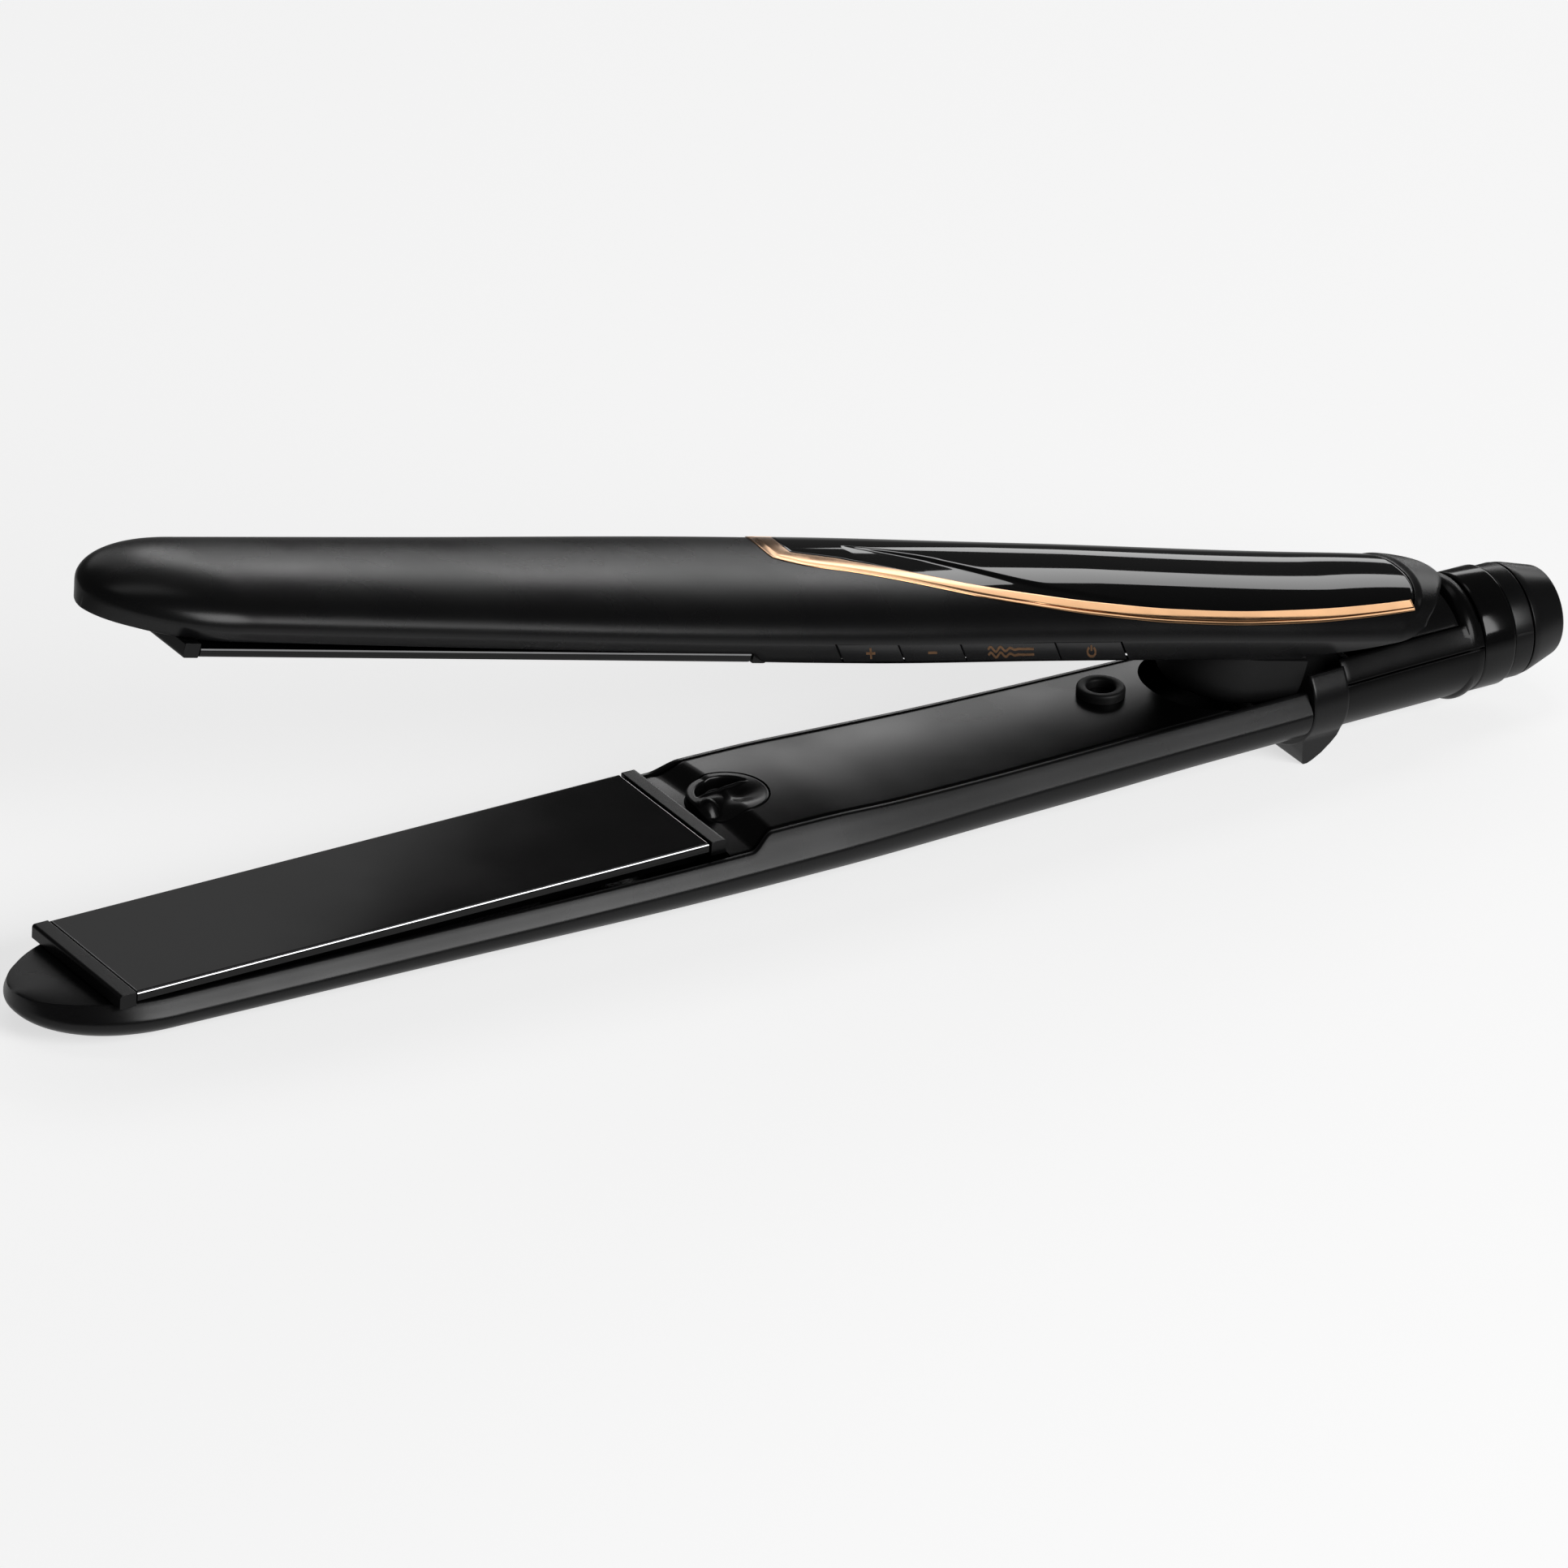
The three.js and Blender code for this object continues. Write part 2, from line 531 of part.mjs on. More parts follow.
function tailFrame() {
  const near = tailWall([...TAIL_STATIONS, TAIL_REAR + 0.6], SEAM_LOW, SEAM_TOP, 0, 1.6, 4);
  const far = tailWall([...TAIL_STATIONS, TAIL_REAR + 0.6], 180 - SEAM_TOP, 180 - SEAM_LOW, 0, 1.6, 4);
  const bulge = [[10.3, 21.8], [10.7, 22.4], [10.7, 24.4], [10.2, 25.6], [9.4, TAIL_END]];
  const mouth = turned([[6, 21.8], ...bulge, [6, TAIL_END], [6, 21.8]], "x", 40).translate(0, 0, AXIS_Z);
  return cut(join(near, far, mouth), block(20, 30, -2.6, 2.6, AXIS_Z + 5, LOCK_ROD.z1 + GAP));
}

function tailCover() {
  const from = SEAM_TOP + SEAM_GAP;
  return tailWall([7.5, 15, TAIL_REAR], from, 180 - from, 0, TAIL_WALL, 10);
}

function tailLower() {
  const past = SEAM_LOW - SEAM_GAP;
  return tailWall(TAIL_STATIONS, 180 - past, 360 + past, 0, TAIL_WALL, 18);
}

// The collar's band, with a transverse foot under it that is level when the tool lies on a table.
function footCollar() {
  const { x0, x1, grow, side, foot, footX, footZ } = COLLAR;
  const band = tailWall([x0, x1], 180 - side, 360 + side, grow, grow + 0.6, 22);
  const level = (x) => footZ - (x - footX) * Math.tan(PITCH_DEG * RAD);
  const fin = prism([[-15.6, -11], [-10.4, level(-10.4)], [-8, level(-8)], [-1.8, -11]], "y", -20, 20);
  const flare = [[-foot, footZ - 1], [foot, footZ - 1], [foot + 3.2, -9], [-foot - 3.2, -9]];
  const front = block(-30, x0, -20, 20, -12.8, 0);
  const wedge = cut(common(fin, prism(flare, "x", -40, 20)), tailCore(-30, 10, grow - 0.3), front);
  return join(band, wedge);
}

// ---- cord end -------------------------------------------------------------------------------------
const onAxis = (geometry) => geometry.translate(0, 0, AXIS_Z);

function sleeve(x0, x1, r, bore, edge) {
  const outside = [[r - edge, x0], [r, x0 + edge], [r, x1 - edge], [r - edge, x1]];
  return onAxis(turned([[bore, x0], ...outside, [bore, x1], [bore, x0]], "x", 40));
}

function swivelCap() {
  const { x0, x1, r0, r1, bore } = CAP;
  const outside = [[r0 - 0.3, x0], [r0, x0 + 0.3], [r0 - 0.4, x0 + 2.2], [r1, x1 - 1], [r1 - 0.9, x1]];
  const mouth = [[bore + 0.3, x1], [bore, x1 - 0.4]];
  return onAxis(turned([[bore, x0], ...outside, ...mouth, [bore, x0]], "x", 40));
}

function swivelSpindle() {
  const profile = [[3.6, 18], [6.2, 18], [6.2, 19.4], [5.7, 19.4], [5.7, 36.6], [3.6, 36.6], [3.6, 18]];
  return onAxis(turned(profile, "x", 32));
}

// ---- sensor and stop ------------------------------------------------------------------------------
function sensorHousing() {
  const body = turned([[0, -6], [SENSOR.r, -6], [SENSOR.r, -0.8], [SENSOR.r - 0.5, -0.35], [0, -0.35]], "z", 36);
  const bowl = disc(5.4, -3, 2, "z", 28);
  const lobe = disc(3.4, -5, 1, "z", 24).translate(2.3, -2.2, 0);
  return moved(cut(body, cut(bowl, lobe)), SENSOR.x, 0, 0);
}

function sensorLens() {
  const bead = turned([[0, -2.8], [1.3, -2.8], [1.3, -1.9], [0.9, -1.4], [0, -1.2]], "z", 20);
  return moved(bead, SENSOR.x - 3, 1.6, 0);
}

function stopRing() {
  const { r, hole, top } = STOP;
  const crown = [[r, top - 0.7], [r - 0.7, top], [hole + 0.4, top], [hole, top - 0.4]];
  return turned([[hole, -1.8], [r, -1.8], ...crown, [hole, -1.8]], "z", 32);
}

// ---- assembly -------------------------------------------------------------------------------------
const tool = new THREE.Group();
const lowerArm = new THREE.Group();
const hinge = new THREE.Group();
const upperArm = new THREE.Group();
tool.add(lowerArm, hinge);
hinge.add(upperArm);
hinge.position.z = HINGE_Z;
hinge.rotation.y = OPEN_DEG * RAD;
upperArm.position.z = -HINGE_Z;

function add(group, name, geometry, material) {
  const mesh = new THREE.Mesh(geometry, material);
  mesh.name = name;
  group.add(mesh);
}

// What both arms hold: a floating heated plate between its retainers.
function addPlateSet(group, prefix, placed) {
  const rearRetainer = PLATE.x1 + 0.3;
  const frontRetainer = PLATE.x0 - 0.3 - RETAINER.length;
  add(group, `${prefix}_plate`, placed(plate()), CERAMIC);
  add(group, `${prefix}_heater`, placed(heater()), HEATER);
  add(group, `${prefix}_heater_clip`, placed(heaterClip()), STEEL);
  add(group, `${prefix}_thermistor`, placed(thermistor()), BRASS);
  add(group, `${prefix}_cushion_front`, placed(cushion(-205)), RUBBER);
  add(group, `${prefix}_cushion_rear`, placed(cushion(-171)), RUBBER);
  add(group, `${prefix}_retainer_front`, placed(retainer(frontRetainer)), SATIN);
  add(group, `${prefix}_retainer_rear`, placed(retainer(rearRetainer)), SATIN);
}

// Upper arm
const BOARD_HOLES = [[-104, 8], [-50, 8]];
addPlateSet(upperArm, "upper", (geometry) => geometry);
add(upperArm, "upper_shell", upperShell(), MATTE);
const upperFace = track([[-128, 2.8], [-125.4, 2.8], [-121.4, 0.95], [-30, 0.95]]);
const upperStations = [-127.9, -125.4, -123.4, -121.4, -104, -84, -60, -37];
add(upperArm, "upper_liner", liner(upperStations, upperFace, upperRim, 1, GAP + 0.3), SATIN);
add(upperArm, "gloss_panel", glossPanel(), GLOSS);
add(upperArm, "copper_trim", copperTrim(), COPPER);
add(upperArm, "hinge_tongue", hingeTongue(), MATTE);
const boardBlank = block(-111.5, -42, -8.2, 10.5, 5, 6.4);
const boardBore = BOARD_HOLES.map(([x, y]) => disc(1.1, 0, 10, "z", 16).translate(x, y, 0));
add(upperArm, "main_board", cut(boardBlank, ...boardBore), BOARD);
add(upperArm, "power_module", prism(chamfered(-3, 9, 6.6, 9.8, 0.6), "x", -88, -70), MODULE);
BOARD_HOLES.forEach(([x, y], i) => add(upperArm, `board_screw_${i + 1}`, screw(x, y, 3.7), STEEL));
const upperLead = lead([[-138.6, 2, 7.3], [-131, 2, 8], [-122, 2, 7.4], [-112, 2, 5.7]], 0.9);
add(upperArm, "upper_heater_leads", upperLead, RUBBER);

const buttonRow = new THREE.Group();
buttonRow.applyMatrix4(rowFrame());
upperArm.add(buttonRow);
BUTTON_NAMES.forEach((name, i) => {
  const [x0, x1] = [BUTTON_EDGES[i] + 0.15, BUTTON_EDGES[i + 1] - 0.15];
  const middle = (x0 + x1) / 2 - ROW_X;
  const { half, front, back } = SWITCH;
  add(buttonRow, name, slanted(x0, x1, 0, 0.05, BUTTON_DEPTH), MATTE);
  add(buttonRow, `switch_${i + 1}`, block(middle - half, middle + half, front, back, -1.4, 1.4), MODULE);
});
add(buttonRow, "button_board", block(-31, 30, 4.5, 5.3, -1.7, 1.7), BOARD);

// Lower arm
addPlateSet(lowerArm, "lower", mirrored);
add(lowerArm, "lower_shell", mirrored(shell(lowerCrown, lowerRim, [LOWER_END])), MATTE);
const lowerFace = track([
  [-128, 2.8], [-125.4, 2.8], [-120.4, 0.45], [-110, 0.55], [-95, 1.2], [-70, 1.75], [-26, 2],
]);
const lowerStations = [-127.9, -125.4, -124, -122.2, -120.4, -110, -98, -86, -70, -48, -26.5];
const lowerLiner = mirrored(liner(lowerStations, lowerFace, lowerRim, 1.4, GAP));
const sensorHole = disc(SENSOR.r + GAP, -20, 10, "z", 36).translate(SENSOR.x, 0, 0);
const domeHole = disc(DOME.r + 0.7, -20, 10, "z", 36).translate(DOME.x, 0, 0);
add(lowerArm, "lower_liner", cut(lowerLiner, sensorHole, domeHole), SATIN);
add(lowerArm, "sensor_housing", sensorHousing(), SATIN);
add(lowerArm, "sensor_lens", sensorLens(), GLOSS);
add(lowerArm, "stop_ring", stopRing().translate(STOP.x, STOP.y, 0), RUBBER);
const sensorBlank = block(-111, -78, -9, 9, -7.2, -6);
add(lowerArm, "sensor_board", cut(sensorBlank, disc(1.1, -20, 0, "z", 16).translate(-84, 5, 0)), BOARD);
add(lowerArm, "board_screw_3", mirrored(screw(-84, 5, 4.6)), STEEL);
const lowerLead = lead([[-138.6, 2, 7.3], [-131, 2, 8.2], [-121, 2, 8], [-111.6, 2, 6.6]], 0.9);
add(lowerArm, "lower_heater_leads", mirrored(lowerLead), RUBBER);
add(lowerArm, "foot_collar", footCollar(), MATTE);
add(lowerArm, "tail_frame", tailFrame(), MATTE);
add(lowerArm, "tail_cover", tailCover(), SATIN);
add(lowerArm, "tail_lower", tailLower(), MATTE);
add(lowerArm, "hinge_bracket", hingeBracket(), STEEL);
add(lowerArm, "hinge_pin", disc(PIN.r, -PIN.half, PIN.half, "y", 28).translate(0, 0, HINGE_Z), STEEL);
add(lowerArm, "pin_clip_near", pinClip(-7.5), STEEL);
add(lowerArm, "pin_clip_far", pinClip(7.05), STEEL);
add(lowerArm, "hinge_spring", hingeSpring(), STEEL);
add(lowerArm, "swivel_spindle", swivelSpindle(), SATIN);
add(lowerArm, "lock_ring", sleeve(RING.x0, RING.x1, RING.r, RING.bore, 0.5), GLOSS);
add(lowerArm, "lock_sleeve", sleeve(SLEEVE.x0, SLEEVE.x1, SLEEVE.r, RING.bore, 0.25), MATTE);
add(lowerArm, "lock_rod", block(10, RING.x0 - 0.2, -2.2, 2.2, LOCK_ROD.z0, LOCK_ROD.z1), STEEL);
add(lowerArm, "swivel_cap", swivelCap(), MATTE);

// The tool lies on its tip and its foot: it is pitched, set down on z = 0 and centred over the origin.
tool.rotation.y = -PITCH_DEG * RAD;
tool.updateMatrixWorld(true);
const bounds = new THREE.Box3().setFromObject(tool, true);
const middle = bounds.getCenter(new THREE.Vector3());
tool.position.set(-middle.x, -middle.y, -bounds.min.z);

export default tool;
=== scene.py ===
"""Hair straightener (flat iron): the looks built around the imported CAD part."""

import json
import math

import bmesh
import bpy
import numpy as np
from mathutils import Matrix, Vector


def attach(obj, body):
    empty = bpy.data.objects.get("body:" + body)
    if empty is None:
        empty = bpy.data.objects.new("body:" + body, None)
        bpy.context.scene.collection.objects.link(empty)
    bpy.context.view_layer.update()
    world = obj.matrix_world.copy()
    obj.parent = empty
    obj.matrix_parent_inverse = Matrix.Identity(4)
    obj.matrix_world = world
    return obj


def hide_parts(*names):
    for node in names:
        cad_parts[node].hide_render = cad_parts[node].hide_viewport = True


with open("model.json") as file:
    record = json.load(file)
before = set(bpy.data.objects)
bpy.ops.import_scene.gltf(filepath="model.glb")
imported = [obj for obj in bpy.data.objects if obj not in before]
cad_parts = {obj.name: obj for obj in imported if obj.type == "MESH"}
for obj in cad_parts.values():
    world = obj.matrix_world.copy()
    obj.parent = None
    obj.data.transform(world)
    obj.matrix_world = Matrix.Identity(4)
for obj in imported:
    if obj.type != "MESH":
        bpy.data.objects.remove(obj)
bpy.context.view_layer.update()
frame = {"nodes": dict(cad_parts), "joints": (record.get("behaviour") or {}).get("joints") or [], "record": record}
joints = {j["name"]: j for j in frame["joints"]}

# ---- frames ------------------------------------------------------------------------------------------
# Pieces are drawn in millimetres in the frame of the closed arms: x = 0 on the hinge axis with the tip
# at negative x, z = 0 on the plane where the plates meet, -y the side with the keys. The lower arm is
# drawn upside down, as a twin of the upper one, and mirrored when it is placed.
MM = 0.001
HINGE_Z = -8.5
OPEN = math.radians(14)
PITCH = math.asin(joints["lock_slide"]["axis"][2])
HINGE = Vector(joints["arm_hinge"]["pos_m"])


def arm_frame(turn):
    swing = Matrix.Rotation(turn, 4, "Y")
    return Matrix.Translation(HINGE) @ swing @ Matrix.Scale(MM, 4) @ Matrix.Translation((0, 0, -HINGE_Z))


LOWER = arm_frame(-PITCH)
LOWER_TWIN = LOWER @ Matrix.Scale(-1, 4, (0, 0, 1))
UPPER = arm_frame(OPEN - PITCH)

# ---- driving dimensions, as in the CAD part ----------------------------------------------------------
TIP_X, TIP_LENGTH, TIP_CROWN = -258.7, 23.7, 21.7
FACET_Z, FACET_LEAN, CROWN_POWER = 5.4, 0.7, 2.3
WALL, LIP, GAP = 1.8, 0.7, 0.25
UPPER_END, LOWER_END = 17.6, -11.9
CAVITY_START = -246.6
AXIS_Z = -5.4


def track(points):
    """A smooth curve through points that never overshoots them (monotone cubic)."""
    px, py = np.array(points, float).T
    n = len(px)
    step = np.diff(py) / np.diff(px)
    slope = np.concatenate([step[:1], np.zeros(n - 2), step[-1:]])
    for i in range(1, n - 1):
        a, b = step[i - 1], step[i]
        slope[i] = 0 if a * b <= 0 else 2 * a * b / (a + b)

    def at(x):
        x = np.asarray(x, float)
        i = np.clip(np.searchsorted(px, x, side="left") - 1, 0, n - 2)
        h = px[i + 1] - px[i]
        t = np.clip((x - px[i]) / h, 0, 1)
        a = (1 + 2 * t) * (1 - t) ** 2 * py[i] + t * (1 - t) ** 2 * h * slope[i]
        return a + t * t * (3 - 2 * t) * py[i + 1] + t * t * (t - 1) * h * slope[i + 1]

    return at


# Along x: the arms' half width, the height of each crown, and the height of each rim over the plate plane.
widest = track([
    (-235, 15.6), (-200, 16.6), (-133, 18.2), (-110, 18), (-70, 16.2), (-40, 15.2), (-10, 14.6), (20, 13),
])
upper_crown = track([
    (-236, 11.95), (-180, 12.15), (-120, 12.75), (-60, 13.05), (-10, 12.45), (8, 12.65), (18, 12.35),
])
lower_crown = track([(-236, 11.1), (-180, 11.9), (-120, 13.3), (-60, 13.9), (-30, 13.5), (-6, 13.3)])
upper_rim = track([(-260, 2.7), (-135, 2.7), (-130.6, 0.55), (-95, 0.3), (20, 0.3)])
lower_rim = track([
    (-260, 2.7), (-126, 2.7), (-121, 0.6), (-110, 0.7), (-95, 1.3), (-70, 1.9), (-38, 2.1), (-6, 2.2),
])


def half_width(x):
    """Half the width of an arm, round in plan at the tip."""
    x = np.asarray(x, float)
    start = TIP_X + TIP_LENGTH
    u = np.clip((start - x) / TIP_LENGTH, 0, 1)
    return widest(np.maximum(x, start)) * np.sqrt(1 - u * u)


def crown_height(x, crown):
    """Height of a crown along the middle of its arm, falling in a rounded curve to the tip."""
    x = np.asarray(x, float)
    start = TIP_X + TIP_CROWN
    u = np.clip((start - x) / TIP_CROWN, 0, 1)
    fall = np.sqrt(1 - u**2.2)
    return FACET_Z + (crown(np.maximum(x, start)) - FACET_Z) * fall


def crown_point(x, turn, crown, inset=0.0):
    """A point on the crown: turn runs from 0 at the near facet edge to pi at the far one."""
    w = half_width(x) - inset
    h = crown_height(x, crown) - inset - FACET_Z
    c, s = np.cos(turn), np.sin(turn)
    y = -w * np.sign(c) * np.abs(c) ** (2 / CROWN_POWER)
    z = FACET_Z + h * np.abs(s) ** (2 / CROWN_POWER)
    return np.stack(np.broadcast_arrays(x, y, z), -1)


def facet_in(x, z):
    """How far the leaning facet lies inside the widest line at height z."""
    return FACET_LEAN * (FACET_Z - z) * np.minimum(1, half_width(x) / 10)


# ---- mesh helpers ------------------------------------------------------------------------------------
def new_object(name, verts, faces):
    mesh = bpy.data.meshes.new(name)
    mesh.from_pydata([tuple(map(float, v)) for v in verts], [], [tuple(map(int, f)) for f in faces])
    bm = bmesh.new()
    bm.from_mesh(mesh)
    bmesh.ops.remove_doubles(bm, verts=bm.verts, dist=1e-5)
    bmesh.ops.recalc_face_normals(bm, faces=bm.faces)
    bm.to_mesh(mesh)
    bm.free()
    obj = bpy.data.objects.new(name, mesh)
    bpy.context.scene.collection.objects.link(obj)
    return obj


def loft(name, rings, caps=True):
    """A closed solid through rings of equal point counts."""
    rings = np.asarray(rings, float)
    r, c = rings.shape[:2]
    faces = []
    for i in range(r - 1):
        a = i * c
        for j in range(c):
            k = (j + 1) % c
            faces.append((a + j, a + k, a + c + k, a + c + j))
    if caps:
        faces.append(tuple(range(c - 1, -1, -1)))
        faces.append(tuple(range((r - 1) * c, r * c)))
    return new_object(name, rings.reshape(-1, 3), faces)


def slab(name, top, bottom):
    """A closed solid between two grids of points that face each other."""
    top, bottom = np.asarray(top, float), np.asarray(bottom, float)
    r, c = top.shape[:2]
    n = r * c
    corners = [i * c + j for i in range(r - 1) for j in range(c - 1)]
    quads = [(a, a + 1, a + c + 1, a + c) for a in corners]
    faces = quads + [tuple(n + v for v in reversed(q)) for q in quads]
    edge = [j for j in range(c)] + [i * c + c - 1 for i in range(1, r)]
    edge += [(r - 1) * c + j for j in range(c - 2, -1, -1)] + [i * c for i in range(r - 2, 0, -1)]
    for a, b in zip(edge, edge[1:] + edge[:1]):
        faces.append((b, a, n + a, n + b))
    return new_object(name, np.concatenate([top.reshape(-1, 3), bottom.reshape(-1, 3)]), faces)


def prism(name, outline, axis, start, end):
    """An outline pushed along an axis: x takes (y, z), y takes (x, z), z takes (x, y)."""
    order = {"x": (2, 0, 1), "y": (0, 2, 1), "z": (0, 1, 2)}[axis]
    rings = []
    for d in (start, end):
        rings.append([tuple((a, b, d)[k] for k in order) for a, b in outline])
    return loft(name, rings)


def turned(name, profile, axis, centre=(0, 0, 0), segments=96):
    """A turned piece: a closed profile of (radius, distance along the axis)."""
    turns = np.linspace(0, 2 * math.pi, segments, endpoint=False)
    rings = []
    for t in turns:
        c, s = math.cos(t), math.sin(t)
        if axis == "x":
            rings.append([(d, r * c, r * s) for r, d in profile])
        elif axis == "y":
            rings.append([(r * s, d, r * c) for r, d in profile])
        else:
            rings.append([(r * c, r * s, d) for r, d in profile])
    rings = np.array(rings) + np.array(centre)
    r, c = rings.shape[:2]
    faces = []
    for i in range(r):
        a, b = i * c, ((i + 1) % r) * c
        faces += [(a + j, a + (j + 1) % c, b + (j + 1) % c, b + j) for j in range(c)]
    return new_object(name, rings.reshape(-1, 3), faces)


def rounded(points, radius, steps=4):
    """A closed outline with its corners rounded; a point may carry its own radius as a third number."""
    out = []
    n = len(points)
    for i, p in enumerate(points):
        r = p[2] if len(p) > 2 else radius
        here, back, ahead = (np.array(q[:2], float) for q in (p, points[i - 1], points[(i + 1) % n]))
        if r <= 0:
            out.append(tuple(here))
            continue
        a, b = back - here, ahead - here
        ra = min(r, np.linalg.norm(a) * 0.49)
        rb = min(r, np.linalg.norm(b) * 0.49)
        start, end = here + a / np.linalg.norm(a) * ra, here + b / np.linalg.norm(b) * rb
        for t in np.linspace(0, 1, steps + 1):
            out.append(tuple((1 - t) ** 2 * start + 2 * t * (1 - t) * here + t * t * end))
    return out


def apply_modifiers(obj):
    bpy.context.view_layer.update()
    graph = bpy.context.evaluated_depsgraph_get()
    mesh = bpy.data.meshes.new_from_object(obj.evaluated_get(graph))
    obj.modifiers.clear()
    obj.data = mesh
    return obj


def boolean(base, tool, operation="DIFFERENCE"):
    modifier = base.modifiers.new("boolean", "BOOLEAN")
    modifier.operation = operation
    modifier.object = tool
    modifier.solver = "MANIFOLD"
    apply_modifiers(base)
    bpy.data.objects.remove(tool)
    return base


def bevel(obj, width, segments=3, angle=35):
    modifier = obj.modifiers.new("bevel", "BEVEL")
    modifier.width = width
    modifier.segments = segments
    modifier.limit_method = "ANGLE"
    modifier.angle_limit = math.radians(angle)
    modifier.use_clamp_overlap = True
    return apply_modifiers(obj)


def place(obj, matrix, body, materials, replaces=(), angle=32, weighted=False):
    """Moves a piece from its arm's frame in millimetres to its place, and lets it ride on its body."""
    obj.data.transform(matrix)
    if matrix.to_3x3().determinant() < 0:
        obj.data.flip_normals()
    obj.data.materials.clear()
    for material in materials if isinstance(materials, list) else [materials]:
        obj.data.materials.append(material)
    for p in obj.data.polygons:
        p.use_smooth = True
    obj.data.set_sharp_from_angle(angle=math.radians(angle))
    if weighted:
        modifier = obj.modifiers.new("flat_faces", "WEIGHTED_NORMAL")
        modifier.keep_sharp = True
        modifier.weight = 80
    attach(obj, body)
    if replaces:
        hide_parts(*replaces)
    return obj


# ---- materials ---------------------------------------------------------------------------------------
class Shader:
    """A Principled material whose inputs can take procedural detail."""

    def __init__(self, name, color, roughness, metallic=0.0, **sockets):
        self.material = bpy.data.materials.new(name)
        self.material.use_nodes = True
        self.nodes = self.material.node_tree.nodes
        self.links = self.material.node_tree.links
        self.bsdf = self.nodes["Principled BSDF"]
        self.color, self.rough = color, roughness
        self.bsdf.inputs["Base Color"].default_value = (*color, 1)
        self.bsdf.inputs["Roughness"].default_value = roughness
        self.bsdf.inputs["Metallic"].default_value = metallic
        for key, value in sockets.items():
            self.bsdf.inputs[key.replace("_", " ")].default_value = value
        self.coords = self.nodes.new("ShaderNodeTexCoord").outputs["Object"]
        self.height = None

    def noise(self, scale, detail=2.0, stretch=(1, 1, 1), roughness=0.5):
        mapping = self.nodes.new("ShaderNodeMapping")
        mapping.inputs["Scale"].default_value = stretch
        self.links.new(self.coords, mapping.inputs["Vector"])
        node = self.nodes.new("ShaderNodeTexNoise")
        node.inputs["Scale"].default_value = scale
        node.inputs["Detail"].default_value = detail
        node.inputs["Roughness"].default_value = roughness
        self.links.new(mapping.outputs["Vector"], node.inputs["Vector"])
        return node.outputs["Fac"]

    def spread(self, value, low, high, start=0.3, end=0.7):
        node = self.nodes.new("ShaderNodeMapRange")
        node.inputs["From Min"].default_value = start
        node.inputs["From Max"].default_value = end
        node.inputs["To Min"].default_value = low
        node.inputs["To Max"].default_value = high
        self.links.new(value, node.inputs["Value"])
        return node.outputs["Result"]

    def tint(self, value, low, high, start=0.35, end=0.65):
        ramp = self.nodes.new("ShaderNodeValToRGB")
        ramp.color_ramp.elements[0].position = start
        ramp.color_ramp.elements[0].color = (*low, 1)
        ramp.color_ramp.elements[1].position = end
        ramp.color_ramp.elements[1].color = (*high, 1)
        self.links.new(value, ramp.inputs["Fac"])
        self.links.new(ramp.outputs["Color"], self.bsdf.inputs["Base Color"])
        return self

    def roughness(self, value, low, high, start=0.3, end=0.7):
        self.links.new(self.spread(value, low, high, start, end), self.bsdf.inputs["Roughness"])
        return self

    def bump(self, value, strength, distance):
        node = self.nodes.new("ShaderNodeBump")
        node.inputs["Strength"].default_value = strength
        node.inputs["Distance"].default_value = distance
        self.links.new(value, node.inputs["Height"])
        if self.height is not None:
            self.links.new(self.height, node.inputs["Normal"])
        self.height = node.outputs["Normal"]
        self.links.new(self.height, self.bsdf.inputs["Normal"])
        return self


def soft_touch(name, base, rough, grain=1.0, shine=0.42):
    s = Shader(name, base, rough)
    s.bsdf.inputs["Specular IOR Level"].default_value = shine
    fine = s.noise(8500, 2.0)
    broad = s.noise(55, 3.0)
    s.tint(fine, tuple(c * 0.6 for c in base), tuple(c * 1.5 for c in base))
    s.roughness(broad, rough - 0.03, rough + 0.04)
    s.bump(fine, 0.3 * grain, 0.00002)
    return s.material


def gloss(name, base, rough, metallic=0.0):
    s = Shader(name, base, rough, metallic)
    broad = s.noise(38, 3.0)
    fine = s.noise(900, 3.0)
    s.roughness(broad, max(0.01, rough * 0.7), rough * 1.35)
    s.bump(broad, 0.006, 0.0002)
    s.tint(fine, tuple(c * 0.85 for c in base), tuple(min(1, c * 1.15) for c in base))
    return s.material


def metal(name, base, rough, stretch=(1, 1, 1), scale=1500, depth=0.06):
    s = Shader(name, base, rough, 1.0)
    lines = s.noise(scale, 3.0, stretch)
    broad = s.noise(70, 3.0)
    s.roughness(lines, rough * 0.75, rough * 1.3)
    s.tint(broad, tuple(c * 0.9 for c in base), tuple(min(1, c * 1.08) for c in base))
    s.bump(lines, depth, 0.00002)
    return s.material


SOFT_BLACK = soft_touch("soft_black", (0.005, 0.005, 0.0053), 0.27)
KEY_BLACK = soft_touch("key_black", (0.012, 0.012, 0.0125), 0.26, 0.5)
SATIN_BLACK = soft_touch("satin_black", (0.002, 0.002, 0.0021), 0.24, 0.35, 0.3)
GLOSSY_TRIM = soft_touch("glossy_trim", (0.004, 0.004, 0.0042), 0.26, 0.3)
DARK_MATTE = soft_touch("dark_matte", (0.004, 0.004, 0.0042), 0.6)
GLOSS_BLACK = gloss("gloss_black", (0.002, 0.002, 0.0021), 0.035)
RING_GLOSS = gloss("ring_gloss", (0.002, 0.002, 0.0021), 0.14)
CERAMIC = gloss("ceramic_coating", (0.0025, 0.0025, 0.0027), 0.065)
PLATE_EDGE = metal("plate_edge", (0.62, 0.62, 0.63), 0.2, (1, 30, 30), 900)
COPPER = metal("copper", (0.62, 0.36, 0.19), 0.17, (1, 1, 1), 260, 0.02)
